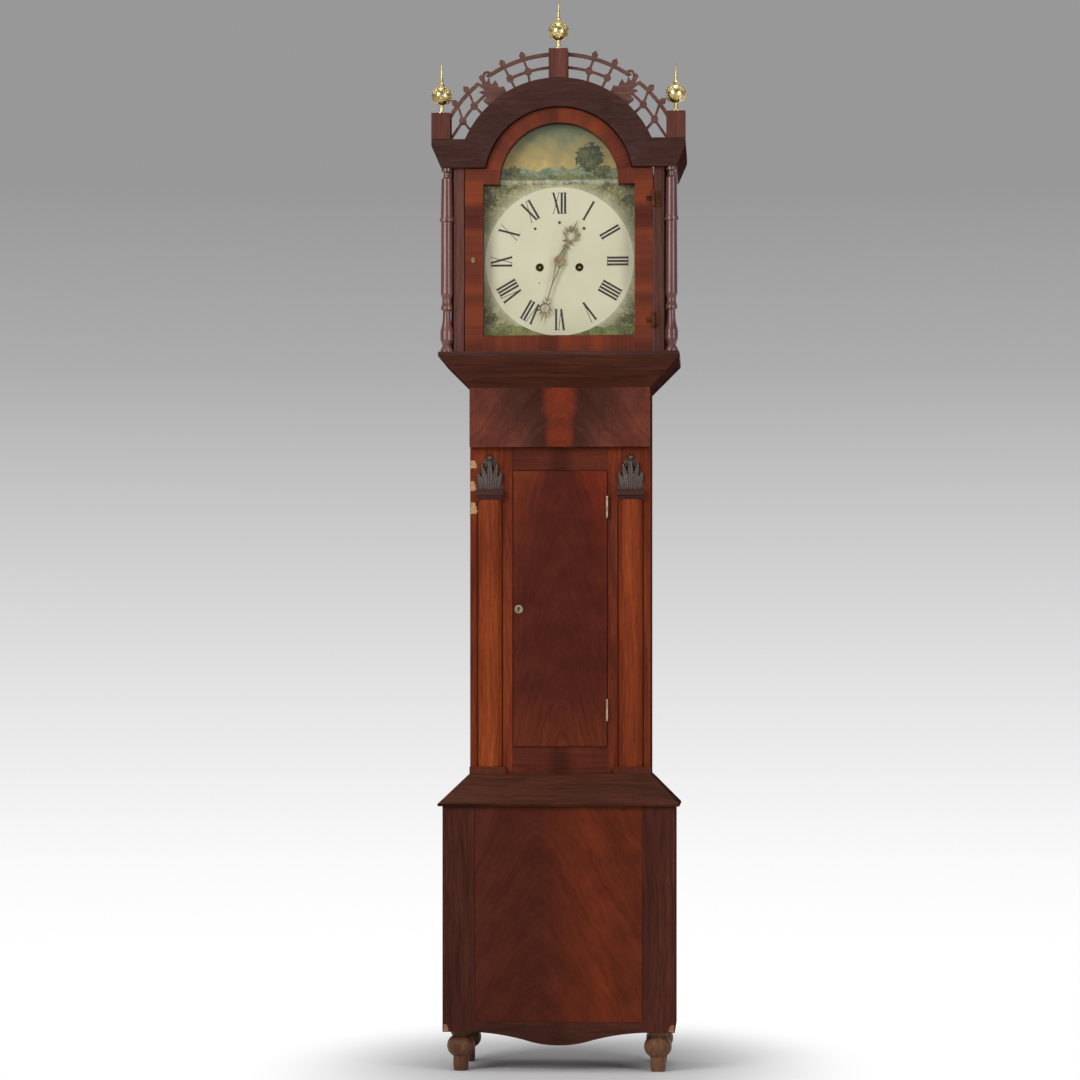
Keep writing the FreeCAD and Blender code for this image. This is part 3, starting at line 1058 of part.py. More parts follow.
def strike_train():
    thick, leaves, half = size("wheel_thickness"), count("pinion_teeth"), size("pinion_length") / 2
    front, back, pivot = size("plate_front"), size("plate_back"), size("arbor_radius")
    great_y, pin_y, gathering_y, warning_y = map(size, ("great_y", "pin_y", "gathering_y", "warning_y"))
    great_middle = great_y + thick / 2
    phase, pin_leaf = drive("strike", "pin", leaves)
    bore = size("barrel_arbor_radius + running_gap")
    great = toothed_wheel(count("strike_teeth"), size("strike_module"), phase, great_y, thick, bore + 8)
    hole = rod_along(bore, great_y - 1, great_y + thick + 1)
    arbor_feature("strike_great_wheel", "strike", [great.cut(hole)])

    phase, gathering_leaf = drive("pin", "gathering", leaves)
    solids = [toothed_wheel(count("pin_teeth"), size("pin_module"), phase, pin_y, thick, 6, rim_depth=8),
              leaf_pinion(leaves, size("strike_module"), pin_leaf, great_middle - half, great_middle + half),
              rod_along(pivot, front, back)]
    ring = size("lift_pin_circle")
    for number in range(8):
        turn = 2 * math.pi * number / 8
        lift_pin = Part.makeCylinder(size("lift_pin_radius"), thick + 3, FreeCAD.Vector(
            ring * math.cos(turn), ring * math.sin(turn), -pin_y - thick))
        solids.append(lift_pin)
    arbor_feature("pin_wheel", "pin", solids)

    leaves_w = count("warning_pinion_teeth")
    phase, warning_leaf = drive("gathering", "warning", leaves_w)
    arbor_feature("gathering_wheel", "gathering", [
        toothed_wheel(count("gathering_teeth"), size("gathering_module"), phase, gathering_y, thick, 5),
        leaf_pinion(leaves, size("pin_module"), gathering_leaf, pin_y - 1.5, pin_y + thick + 1.5),
        rod_along(pivot, front, back)])

    leaves_f = count("fly_pinion_teeth")
    phase, fly_leaf = drive("warning", "fly", leaves_f)
    arbor_feature("warning_wheel", "warning", [
        toothed_wheel(count("warning_teeth"), size("warning_module"), phase, warning_y, thick, 4.5),
        leaf_pinion(leaves_w, size("gathering_module"), warning_leaf, gathering_y - 1.5,
                    size("plate_rear") - 0.5),
        rod_along(pivot, front, back)])
    vane_back = warning_y - 6
    vane = Part.makeBox(2 * size("fly_radius"), 1, size("fly_length"),
                        FreeCAD.Vector(-size("fly_radius"), -0.5, -vane_back))
    arbor_feature("fly", "fly", [
        leaf_pinion(leaves_f, size("warning_module"), fly_leaf, warning_y - 1.5, warning_y + thick + 1.5),
        vane, rod_along(pivot * 0.8, front, back)])


def motion_work():
    thick = size("wheel_thickness")
    cannon_y, hour_y = size("cannon_y"), size("hour_y")
    module, teeth = size("minute_module"), count("minute_teeth")
    angle = towards(arbors["centre"], arbors["minute"])
    cannon, bore = size("cannon_radius"), size("centre_arbor_radius")
    hand_y, hand_back = size("minute_hand_y"), size("minute_hand_y + hand_thickness")
    wheel = toothed_wheel(teeth, module, angle, cannon_y, thick, 7)
    pipe = rod_along(cannon, hand_back, cannon_y + thick)
    hollow = rod_along(bore, hand_y - 5, cannon_y + thick + 1)
    hand = feature_hand("minute", hand_y, bore)
    x, z = arbors["centre"]
    cannon_piece = feature("cannon_wheel", wheel.fuse(pipe).cut(hollow), x, 0, z)
    node("minute_hand", feature("minute_hand_blade", hand, x, 0, z), cannon_piece)

    leaves = count("hour_pinion_teeth")
    back_angle = towards(arbors["minute"], arbors["centre"])
    arbor_feature("minute_wheel", "minute", [
        toothed_wheel(teeth, module, back_angle + math.pi / teeth, cannon_y, thick, 6),
        leaf_pinion(leaves, size("hour_module"), back_angle, hour_y - 2, hour_y + thick + 2),
        rod_along(size("minute_arbor_radius"), hour_y - 3, size("plate_inside"))])

    pipe_radius = size("hour_pipe_radius")
    hour_bore = cannon + size("running_gap")
    hour_hand_y = size("hour_hand_y")
    hour_teeth = count("hour_teeth")
    wheel = toothed_wheel(hour_teeth, size("hour_module"), angle + math.pi / hour_teeth, hour_y, thick, 10)
    pipe = rod_along(pipe_radius, hour_hand_y + size("hand_thickness"), hour_y + thick)
    hand = feature_hand("hour", hour_hand_y, hour_bore)
    hour_solid = wheel.fuse(pipe).cut(rod_along(hour_bore, hour_hand_y - 5, hour_y + thick + 1))
    node("hour_hand", feature("hour_hand_blade", hand, x, 0, z), feature("hour_wheel", hour_solid, x, 0, z))


def feature_hand(name, front, bore):
    """A pierced hand: a boss, two bars that meet, a stem with a round crest, and a slim tip."""
    length, half_width = size(f"{name}_hand_length"), size(f"{name}_crest_radius")
    join, crest = size(f"{name}_join_share"), size(f"{name}_crest_share")
    back = front + size("hand_thickness")
    turn = math.radians(size(f"{name}_hand_angle"))
    along = FreeCAD.Vector(math.sin(turn), math.cos(turn), 0)
    aside = FreeCAD.Vector(along.y, -along.x, 0)
    shift = FreeCAD.Vector(0, 0, -back)
    boss = size("boss_radius")
    bar, stem = size("hand_bar"), size("hand_stem")

    def strip(start, end, width):
        return straight_bar(start + shift, end + shift, width, back - front)

    middle = along * (length * crest)
    ring = rod_along(half_width, front, back)
    ring = ring.cut(rod_along(half_width - stem, front, back))
    ring.translate(middle)
    solids = [rod_along(boss, front, back), strip(aside * (boss * 0.6), along * (length * join), bar),
              strip(aside * (-boss * 0.6), along * (length * join), bar),
              strip(along * (length * join - stem), middle - along * (half_width - stem), stem),
              ring, slab([middle + along * (half_width - 2) + aside * bar, along * length,
                          middle + along * (half_width - 2) - aside * bar], front, back)]
    return solids[0].multiFuse(solids[1:]).cut(rod_along(bore, front - 1, back + 1)).removeSplitter()


def movement_plates():
    pivot = "arbor_radius + running_gap"
    corners = [("-plate_half", "plate_bottom"), ("plate_half", "plate_bottom"), ("plate_half", "plate_top"),
               ("-plate_half", "plate_top")]
    shared = [("barrel_x", "barrel_z", "barrel_arbor_radius + running_gap"),
              ("-barrel_x", "barrel_z", "barrel_arbor_radius + running_gap"),
              ("third_x", "third_z", pivot), (0, "escape_z", pivot), ("pin_x", "pin_z", pivot),
              ("gathering_x", "gathering_z", pivot), ("warning_x", "warning_z", pivot),
              ("fly_x", "fly_z", "arbor_radius * 0.8 + running_gap"), ("hammer_x", "hammer_z", pivot)]
    front_holes = shared + [(0, "dial_centre", "centre_arbor_radius + running_gap"), (0, "pallet_z", pivot),
                            ("minute_x", "minute_z", "minute_arbor_radius + running_gap")]
    back_holes = shared + [(0, "dial_centre", pivot), (0, "pallet_z", "3 * arbor_radius")]
    plates = [panel("front_plate", ("plate_front", "plate_inside"), corners, *front_holes),
              panel("back_plate", ("plate_rear", "plate_back"), corners, *back_holes)]
    pillars = []
    for side, x in enumerate(("-frame_pillar_x", "frame_pillar_x")):
        for end, z in enumerate(("plate_bottom + frame_pillar_inset", "plate_top - frame_pillar_inset")):
            pillars.append(crosswise(f"frame_pillar_{side}{end}", "frame_pillar_radius", x,
                                     ("plate_inside", "plate_rear"), z))
    node("movement_frame", *plates, *pillars, back_cock())


def back_cock():
    arm_z = ("pallet_z + cock_rise", "pallet_z + cock_rise + cock_arm")
    arm = block("cock_arm_block", ("-cock_width / 2", "cock_width / 2"),
                ("plate_back", "pendulum_back + cock_tail"), arm_z)
    slot = block("cock_slot", ("-spring_thickness - 1.5", "spring_thickness + 1.5"),
                 ("pendulum_back - spring_width", "pendulum_back + cock_tail + 1"),
                 ("pallet_z", "spring_top"))
    lug_y = ("plate_back + lug_gap", "plate_back + lug_gap + lug_thickness")
    lug = block("cock_lug", ("-cock_width / 3", "cock_width / 3"), lug_y,
                ("pallet_z - cock_rise - 1", arm_z[0]))
    hole = crosswise("cock_hole", "arbor_radius + running_gap", 0, ("plate_back", "pendulum_back"),
                     "pallet_z")
    return cut("cock_cut", fuse("cock_blank", arm, lug), slot, hole)


def anchor_and_crutch():
    """An anchor that stands just clear of the escape wheel, on an arbor that also carries the crutch."""
    y, thick = size("escape_y"), size("wheel_thickness")
    rise = size("pallet_rise")
    reach = size("escape_radius + pallet_gap")
    arbor_end = size("plate_back + lug_gap + lug_thickness")
    solids = [rod_along(size("arbor_radius"), size("plate_front"), arbor_end), rod_along(4, y, y + thick)]
    grip = math.radians(50)
    for sign in (-1, 1):
        tip = FreeCAD.Vector(sign * reach * math.sin(grip), -rise + reach * math.cos(grip), 0)
        elbow = FreeCAD.Vector(sign * 20, -6, 0)
        outer = FreeCAD.Vector(sign * 4, 1.5, 0)
        nib = tip + FreeCAD.Vector(sign * 3.5, 1.5, 0)
        corners = [FreeCAD.Vector(0, 3.5, 0), outer + FreeCAD.Vector(0, 2.5, 0),
                   elbow + FreeCAD.Vector(sign * 2, 3, 0), nib, tip, FreeCAD.Vector(sign * 15, -5, 0),
                   FreeCAD.Vector(0, -3.5, 0)]
        solids.append(slab(corners, y, y + thick))
    crutch_y, stock = size("plate_back + crutch_gap"), size("crutch_thickness")
    drop = size("crutch_length")
    solids.append(slab([FreeCAD.Vector(2, 3, 0), FreeCAD.Vector(-2, 3, 0), FreeCAD.Vector(-2, -drop, 0),
                        FreeCAD.Vector(2, -drop, 0)], crutch_y, crutch_y + stock))
    gap = size("rod_radius + fork_gap")
    end = size("pendulum_back + rod_radius")
    bridge = Part.makeBox(2 * (gap + stock), 3, stock, FreeCAD.Vector(-gap - stock, -drop, -crutch_y - stock))
    solids.append(bridge)
    for edge in (-gap - stock, gap):
        solids.append(Part.makeBox(stock, 3, end - crutch_y, FreeCAD.Vector(edge, -drop, -end)))
    arbor_feature("anchor_crutch", "pallet", solids)


def pendulum():
    rod_top = "pallet_z - spring_length"
    y = ("pendulum_back - spring_width / 2", "pendulum_back + spring_width / 2")
    spring = block("suspension_spring", ("-spring_thickness / 2", "spring_thickness / 2"), y,
                   (rod_top, "spring_top"))
    chops = block("suspension_chops", ("-spring_width / 2", "spring_width / 2"), y,
                  ("spring_top", "spring_top + spring_width"))
    rod = upright("pendulum_stick", "rod_radius", 0, "pendulum_back",
                  ("bob_z - bob_radius", f"{rod_top} + 6"))
    thread = upright("rating_thread", "thread_radius", 0, "pendulum_back", ("rod_bottom", "bob_z"))
    node("pendulum_rod", fuse("pendulum_rod_blank", spring, chops, rod, thread))
    edge = "bob_thickness / 8"
    half = "bob_thickness / 2"
    lens = [(0, f"-({half})"), ("bob_radius * 0.15", f"-({half})", "bob_radius / 18"),
            ("bob_radius", f"-({edge})"), ("bob_radius", edge, "bob_radius / 18"),
            ("bob_radius * 0.15", half), (0, half)]
    disc = turned("bob_disc", lens, 0, "pendulum_back", "bob_z", turn=90)
    bore = upright("bob_bore", "rod_radius + running_gap", 0, "pendulum_back",
                   ("bob_z - 2 * bob_radius", "bob_z + 2 * bob_radius"))
    node("pendulum_bob", cut("bob_cut", disc, bore))
    nut = upright("nut_blank", "nut_radius", 0, "pendulum_back", ("nut_z", "nut_z + nut_height"))
    thread_bore = upright("nut_bore", "thread_radius + running_gap", 0, "pendulum_back",
                          ("nut_z - 1", "nut_z + nut_height + 1"))
    node("rating_nut", cut("nut_cut", nut, thread_bore))


def bell_and_hammer():
    outer, wall, tall = "bell_radius", "bell_wall", "bell_height"
    dish = [(0, tall), (0, f"{tall} - {wall}"), (f"{outer} * 0.62", f"{tall} - {wall}", f"-{wall} * 2"),
            (f"{outer} - {wall}", 0), (outer, 0, f"{wall} * 2"), (f"{outer} * 0.62", tall)]
    mid_y = "(plate_inside + plate_rear) / 2"
    bell = turned("bell_dish", dish, "bell_x", mid_y, "bell_rim")
    post_y = f"{mid_y} + bell_radius + bell_wall + bell_post_radius"
    top = "bell_rim + bell_height"
    foot_z = "plate_top - bell_foot_drop"
    arm_top = f"{top} + bell_arm_thickness"
    upright_post = upright("bell_post", "bell_post_radius", "bell_x", post_y, (foot_z, arm_top))
    arm = block("bell_arm", ("bell_x - bell_post_radius", "bell_x + bell_post_radius"),
                (f"{mid_y} - 5", post_y), (top, arm_top))
    half_foot = "bell_foot_height / 2"
    foot = block("bell_foot", (f"bell_x - {half_foot}", f"bell_x + {half_foot}"), ("plate_back", post_y),
                 (foot_z, f"{foot_z} + bell_foot_height"))
    node("bell", bell, fuse("bell_stand", upright_post, arm, foot))
    rise = size("bell_rim - hammer_z") + 4
    rim_x = size("bell_x - bell_radius - hammer_gap - hammer_x")
    head_y = size("(plate_inside + plate_rear) / 2")
    head_length = size("hammer_head_length")
    head = Part.makeCylinder(size("hammer_head_radius"), head_length,
                             FreeCAD.Vector(rim_x - head_length, rise, -head_y), FreeCAD.Vector(1, 0, 0))
    stem_x = rim_x - head_length / 2
    stem = [FreeCAD.Vector(-1.2, 0, 0), FreeCAD.Vector(1.2, 0, 0), FreeCAD.Vector(stem_x + 1.2, rise, 0),
            FreeCAD.Vector(stem_x - 1.2, rise, 0)]
    pin_top = size("pin_z + lift_pin_circle + lift_pin_radius")
    tail_y = size("pin_y") - 2.6
    drop = pin_top + 1.5 - size("hammer_z")
    lean = size("pin_x - hammer_x") * 0.8
    tail = [FreeCAD.Vector(-2, 0, 0), FreeCAD.Vector(lean - 1.5, drop, 0),
            FreeCAD.Vector(lean + 1.5, drop, 0), FreeCAD.Vector(2, 0, 0)]
    arbor_feature("strike_hammer", "hammer", [
        rod_along(size("arbor_radius"), size("plate_front"), size("plate_back")), head,
        slab(stem, head_y - 1.2, head_y + 1.2), slab(tail, tail_y, tail_y + 2)])


# Weights, pulleys and lines

def weight_gear(side, sign):
    """A weight in its stirrup, the pulley that carries it and the gut line from barrel to seatboard."""
    x = f"({side}_line_x + {sign} * pulley_radius)"
    y = "weight_y"
    top = "weight_bottom + weight_height"
    profile = [(0, 0), ("weight_radius", 0),
               ("weight_radius", "weight_height - weight_shoulder", "weight_shoulder / 2"),
               ("weight_radius * 0.7", "weight_height"), (0, "weight_height")]
    can = turned(f"{side}_weight_can", profile, x, y, "weight_bottom")
    bar_z = "pulley_z - pulley_rim - stirrup_room"
    hook = upright(f"{side}_weight_hook", "axle_radius", x, y, (top, bar_z))
    inner = "pulley_width / 2 + stirrup_gap"
    outer = f"{inner} + stirrup_thickness"
    wide = (f"{x} - stirrup_width / 2", f"{x} + stirrup_width / 2")
    deep = (f"{y} - ({outer})", f"{y} + {outer}")
    tall = (bar_z, "pulley_z + stirrup_room")
    rear = block(f"{side}_stirrup_rear", wide, (f"{y} + {inner}", deep[1]), tall)
    front = block(f"{side}_stirrup_front", wide, (deep[0], f"{y} - ({inner})"), tall)
    bridge = block(f"{side}_stirrup_bar", wide, deep, (bar_z, f"{bar_z} + stirrup_bar"))
    axle = crosswise(f"{side}_pulley_axle", "axle_radius", x, deep, "pulley_z")
    node(f"{side}_weight", fuse(f"{side}_weight_can_hook", can, hook),
         fuse(f"{side}_stirrup", rear, front, bridge, axle))
    groove = "pulley_radius - line_radius - line_gap"
    half = "pulley_width / 2"
    rim = [("axle_radius + running_gap", f"-({half})"), ("pulley_rim", f"-({half})"),
           (groove, "-line_radius"),
           (groove, "line_radius"), ("pulley_rim", half), ("axle_radius + running_gap", half)]
    node(f"{side}_pulley", turned(f"{side}_pulley_wheel", rim, x, y, "pulley_z", turn=90))
    inner_x, outer_x = f"{side}_line_x", f"{side}_line_x + {2 * sign} * pulley_radius"
    runs = [upright(f"{side}_line_barrel_run", "line_radius", inner_x, y, ("pulley_z", "barrel_z")),
            upright(f"{side}_line_fixed_run", "line_radius", outer_x, y, ("pulley_z", "plate_bottom + 3"))]
    loop = doc.addObject("Part::Torus", f"{side}_line_loop")
    loop.Angle3 = 180
    bind(loop, Radius1="pulley_radius", Radius2="line_radius")
    place(loop, x, y, "pulley_z", turn=-90)
    knot = doc.addObject("Part::Sphere", f"{side}_line_knot")
    bind(knot, Radius="3 * line_radius")
    place(knot, outer_x, y, "plate_bottom + 3 * line_radius")
    node(f"{side}_line", fuse(f"{side}_line_gut", *runs, loop, knot))


for build in (turned_feet, base_carcass, base_front, base_moulding, backboard, trunk_sides, trunk_front_frame,
              trunk_columns, column_capitals, throat_moulding, seatboard, trunk_hinges, trunk_door,
              trunk_lock,
              hood_base, hood_sides, hood_cornice, hood_roof, plinth_and_finial, hood_columns, fretwork,
              hood_door, hood_hinges, hood_mask, dial, movement_plates, going_train, barrels,
              strike_train, motion_work, anchor_and_crutch, pendulum, bell_and_hammer):
    build()
weight_gear("going", 1)
weight_gear("strike", -1)
doc.recompute()

# Every object has to be sound before anything is written
for thing in doc.Objects:
    if "Invalid" in thing.State or "Error" in thing.State:
        raise RuntimeError(f"{thing.Name} failed: {thing.State}")
for label, thing in NODES.items():
    if thing.Label != label or thing.Shape.isNull() or not thing.Shape.isValid() or not thing.Shape.Solids:
        raise RuntimeError(f"{label} has no sound solid")

os.makedirs("parts", exist_ok=True)
for label, thing in NODES.items():
    thing.Shape.exportStep(os.path.join("parts", f"{label}.step"))
print(len(NODES), "sub-parts")
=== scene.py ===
import bpy
import bmesh
import json
from functools import partial
from math import cos, exp, hypot, pi, radians, sin, sqrt, tau
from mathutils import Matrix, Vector


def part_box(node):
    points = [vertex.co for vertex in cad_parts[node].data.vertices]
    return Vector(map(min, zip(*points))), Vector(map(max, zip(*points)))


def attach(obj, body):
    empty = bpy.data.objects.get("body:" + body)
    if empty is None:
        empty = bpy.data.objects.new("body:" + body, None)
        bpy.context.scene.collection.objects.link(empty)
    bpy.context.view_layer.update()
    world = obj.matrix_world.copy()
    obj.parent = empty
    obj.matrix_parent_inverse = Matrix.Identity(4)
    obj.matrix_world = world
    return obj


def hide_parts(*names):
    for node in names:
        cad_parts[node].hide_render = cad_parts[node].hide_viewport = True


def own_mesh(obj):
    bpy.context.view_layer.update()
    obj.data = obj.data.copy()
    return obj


# A mahogany longcase clock with a painted arch dial, in metres, in the part's own frame.
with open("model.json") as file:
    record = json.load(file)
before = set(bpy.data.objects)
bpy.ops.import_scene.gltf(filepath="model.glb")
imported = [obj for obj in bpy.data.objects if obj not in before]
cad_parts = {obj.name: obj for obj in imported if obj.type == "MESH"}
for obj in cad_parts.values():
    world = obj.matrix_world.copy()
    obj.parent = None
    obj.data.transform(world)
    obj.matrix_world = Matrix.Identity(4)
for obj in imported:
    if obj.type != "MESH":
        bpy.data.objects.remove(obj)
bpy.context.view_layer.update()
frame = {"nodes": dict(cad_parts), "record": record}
nodes = frame["nodes"]
record = frame["record"]
scene = bpy.context.scene
MM = 0.001
BODY = {node: body for body, members in record["behaviour"]["bodies"].items() for node in members}
SLOT = {part["node"]: part["material_slot"] for part in record["subparts"]}
JOINT = {joint["name"]: joint for joint in record["behaviour"]["joints"]}

# Places read from the solids
CENTRE = Vector(JOINT["centre_arbor"]["pos_m"])
DIAL_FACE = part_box("dial")[0].y
GLASS_LAP = 5.5 * MM
ARCH_RADIUS = 128 * MM
OPENING_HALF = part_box("hood_glass")[1].x - GLASS_LAP
OPENING_TOP = CENTRE.z + 163 * MM
ARCH_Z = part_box("hood_glass")[1].z - GLASS_LAP - ARCH_RADIUS
PANEL_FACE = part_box("trunk_front_frame")[0].y
TRUNK_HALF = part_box("trunk_sides")[1].x
APERTURE_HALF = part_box("trunk_door")[1].x + 1 * MM
COLUMN_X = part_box("column_capitals")[1].x - 30.5 * MM
COLUMN_FOOT = 15.5 * MM
BASE_STILE = 72 * MM


def linear(code):
    """A linear colour from an sRGB hex code."""
    parts = [int(code[i:i + 2], 16) / 255 for i in (1, 3, 5)]
    return tuple(c / 12.92 if c <= 0.04045 else ((c + 0.055) / 1.055) ** 2.4 for c in parts) + (1.0,)


def feed(node, inputs):
    """Link sockets to a node's inputs, or set them to plain values."""
    for key, value in inputs.items():
        if isinstance(value, bpy.types.NodeSocket):
            node.id_data.links.new(value, node.inputs[key])
        else:
            node.inputs[key].default_value = value


def add(tree, kind, *values, out=0, at=None, stops=None, **named):
    """Add a node of a kind, with perhaps its operation or a mix's type of data, and give one output.

    Inputs come in order, by number or by capital name, and settings in small letters.
    """
    kind, *choice = kind.split()
    node = tree.nodes.new(kind if kind.startswith(("Geometry", "Function", "Node")) else "ShaderNode" + kind)
    for word in choice:
        setattr(node, "data_type" if kind == "Mix" else "operation", word)
    inputs = dict(enumerate(values))
    inputs.update(at or {})
    for name, value in named.items():
        if name[0].isupper():
            inputs[name.replace("_", " ")] = value
        else:
            setattr(node, name, value)
    feed(node, inputs)
    for number, (place, code) in enumerate(stops or ()):
        ramp = node.color_ramp.elements
        stop = ramp[number] if number < 2 else ramp.new(place)
        stop.position = place
        stop.color = linear(code)
    return node.outputs[out]


def blank(name):
    """A new material: itself, a way to put nodes in it, its shader and the object's own coordinates."""
    material = bpy.data.materials.new(name)
    material.use_nodes = True
    put = partial(add, material.node_tree)
    return material, put, material.node_tree.nodes["Principled BSDF"], put("TexCoord", out="Object")


# Woods. Streaks in mahogany are about 7 mm apart and run for some 170 mm; the pores between them are
# drawn about twice as coarse as real ones, so that they show. Feathers are the streaks of crotch veneer.
STREAK = (1 / (7 * MM), 1 / (170 * MM))
PORE = (1 / (1.6 * MM), 1 / (22 * MM))
WARP = 30 * MM
FEATHER_PITCH, FEATHER_LENGTH = 26 * MM, 600 * MM
SPINE_ROUND = 25 * MM
MOTTLE = 45 * MM
KNOT_HEART, KNOT_EDGE = 10 * MM, 32 * MM
# Width of the dark band of painted shade, with some grime, beside each column's shaft
QUIRK_SHADE_AND_DIRT = 1.6 * MM
BAND_RADIUS, BAND_SPRING = 145 * MM, 26 * MM
BAND_STRIP, BAND_LINE = 55 * MM, 2.6 * MM
BOARD, BOARD_GAP = 155 * MM, 1.2 * MM
SAW_MARK = (1 / (90 * MM), 1 / (3 * MM))
PINE = ("#6B4A2C", "#8A6440", "#A5805A")


def drawn_out(put, place, axis, pitch, length, detail, rough=0.5):
    """A pattern drawn out along one axis."""
    along = put("Mapping", place, Scale=[length if letter == axis else pitch for letter in "XYZ"])
    return put("TexNoise", along, Scale=1.0, Detail=detail, Roughness=rough)


def pore_mask(put, place, axis):
    """Open pores as short dark dashes along the grain."""
    return put("MapRange", drawn_out(put, place, axis, *PORE, 2.0), 0.55, 0.75)


def straight_grain(put, place, axis, dark, middle, light, cloud):
    """Long streaks along one axis over slow changes of tone."""
    wander = put("TexNoise", place, Scale=5.0, Detail=2.0, out="Color")
    bent = put("VectorMath MULTIPLY_ADD", wander, [WARP] * 3, place)
    streaks = drawn_out(put, bent, axis, *STREAK, 5.0, 0.6)
    clouds = drawn_out(put, place, axis, 3 * cloud, cloud, 3.0)
    value = put("Mix", at={0: 0.42, 2: streaks, 3: clouds})
    return put("ValToRGB", value, stops=((0.36, dark), (0.68, light), (0.51, middle)))


def polish(put, shader, tone, pores, gloss, lustre=0.08, coat=0.0):
    """Old polish: a soft, low shine that the open pores break up along the grain."""
    shade = put("Math MULTIPLY", pores, 0.42)
    colour = put("Mix RGBA", at={0: shade, 6: tone, 7: linear("#1C0B08")}, out=2)
    rough = put("MapRange", pores, To_Min=gloss, To_Max=gloss + 0.2)
    relief = put("Bump", Height=pores, Strength=0.12, Distance=0.4 * MM, invert=True)
    feed(shader, {"Base Color": colour, "Roughness": rough, "Normal": relief, "IOR": 1.5,
                  "Specular IOR Level": lustre, "Coat Weight": coat, "Coat Roughness": 0.15})


def planed(name, axis, dark, middle, light, gloss=0.36, cloud=2.2, lustre=0.08, coat=0.0, foot=None):
    """Planed and polished wood with straight streaks, and perhaps with a dark foot."""
    material, put, shader, place = blank(name)
    tone = straight_grain(put, place, axis, dark, middle, light, cloud)
    if foot:
        level, code = foot
        low = put("Math LESS_THAN", put("SeparateXYZ", place, out="Z"), level)
        stain = put("Math MULTIPLY", low, 0.8)
        tone = put("Mix RGBA", at={0: stain, 6: tone, 7: linear(code)}, out=2)
    polish(put, shader, tone, pore_mask(put, place, axis), gloss, lustre, coat)
    return material


def framed_wood(name, opening, stiles, rails, knot, quirk=None):
    """A joined front: stiles of upright grain, rails of level grain with a dark knot, painted shade and grime
    in the quirks.
    """
    material, put, shader, place = blank(name)
    upright = straight_grain(put, place, "Z", *stiles, 4.0)
    level = straight_grain(put, place, "X", *rails, 3.0)
    across, _, height = put("SeparateXYZ", place).node.outputs[:3]
    side = put("Math ABSOLUTE", across)
    middle = put("MapRange", side, KNOT_HEART, KNOT_EDGE, To_Min=knot)
    level = put("VectorMath SCALE", level, Scale=middle)
    outer = put("Math GREATER_THAN", side, opening)
    tone = put("Mix RGBA", at={0: outer, 6: level, 7: upright}, out=2)
    # A dark line in each quirk beside a column: painted shade, with some grime.
    if quirk:
        centre, half, top = quirk
        off = put("Math ABSOLUTE", put("Math SUBTRACT", side, centre))
        quirk_shade_and_dirt = put("Math COMPARE", off, half, QUIRK_SHADE_AND_DIRT)
        low = put("Math LESS_THAN", height, top)
        quirk_shade_and_dirt = put("Math MULTIPLY", quirk_shade_and_dirt, low)
        tone = put("Mix RGBA", at={0: quirk_shade_and_dirt, 6: tone, 7: linear("#33130A")}, out=2)
    polish(put, shader, tone, pore_mask(put, place, "Z"), 0.4)
    return material


def flame(name, spine, reach, taper, top, fullest, slope, swirl, stops, matched=False, glow=None, bold=1.0):
    """Crotch veneer: a plume that widens downwards, with feathered streaks that fall away from its spine."""
    material, put, shader, place = blank(name)
    if matched:
        place = put("VectorMath ABSOLUTE", place)
    drift = put("TexNoise", place, Scale=12.0, Detail=3.0, out="Color")
    bent = put("VectorMath MULTIPLY_ADD", drift, [swirl] * 3, place)
    x, _, z = put("SeparateXYZ", bent).node.outputs[:3]
    away = put("Math SUBTRACT", x, spine + swirl / 2)
    below = put("MapRange", z, top + swirl / 2, top + swirl / 2 - fullest,
                To_Min=reach, To_Max=reach + taper * fullest)
    across = put("Math DIVIDE", away, below)
    band = put("MapRange", across, -1.0, 1.0)
    base = put("ValToRGB", band, stops=stops)
    round_spine = put("Math MULTIPLY_ADD", away, away, SPINE_ROUND ** 2)
    side = put("Math SQRT", round_spine)
    over = put("Math MULTIPLY_ADD", side, slope, z)
    inward = put("Math MULTIPLY", side, -1.0)
    along = put("Math MULTIPLY_ADD", z, slope, inward)
    feathers = put("CombineXYZ", put("Math MULTIPLY", over, 1 / FEATHER_PITCH),
                   put("Math MULTIPLY", along, 1 / FEATHER_LENGTH))
    streaks = put("TexNoise", feathers, Scale=1.0, Detail=8.0, Roughness=0.66, Distortion=0.6)
    light = put("MapRange", streaks, 0.3, 0.7, To_Min=1 - 0.32 * bold, To_Max=1 + 0.34 * bold)
    mottle = put("TexNoise", place, Scale=1 / MOTTLE, Detail=3.0)
    patch = put("MapRange", mottle, 0.3, 0.7, To_Min=0.85, To_Max=1.15)
    factor = put("Math MULTIPLY", light, patch)
    tone = put("VectorMath SCALE", base, Scale=factor)
    if glow:
        low, high, code = glow
        foot = put("MapRange", z, high, low, interpolation_type="SMOOTHSTEP")
        lit = put("MapRange", streaks, 0.32, 0.72)
        fade = put("Math MULTIPLY", foot, lit)
        tone = put("Mix RGBA", at={0: fade, 6: tone, 7: linear(code)}, out=2)
    polish(put, shader, tone, pore_mask(put, place, "Z"), 0.34)
    return material


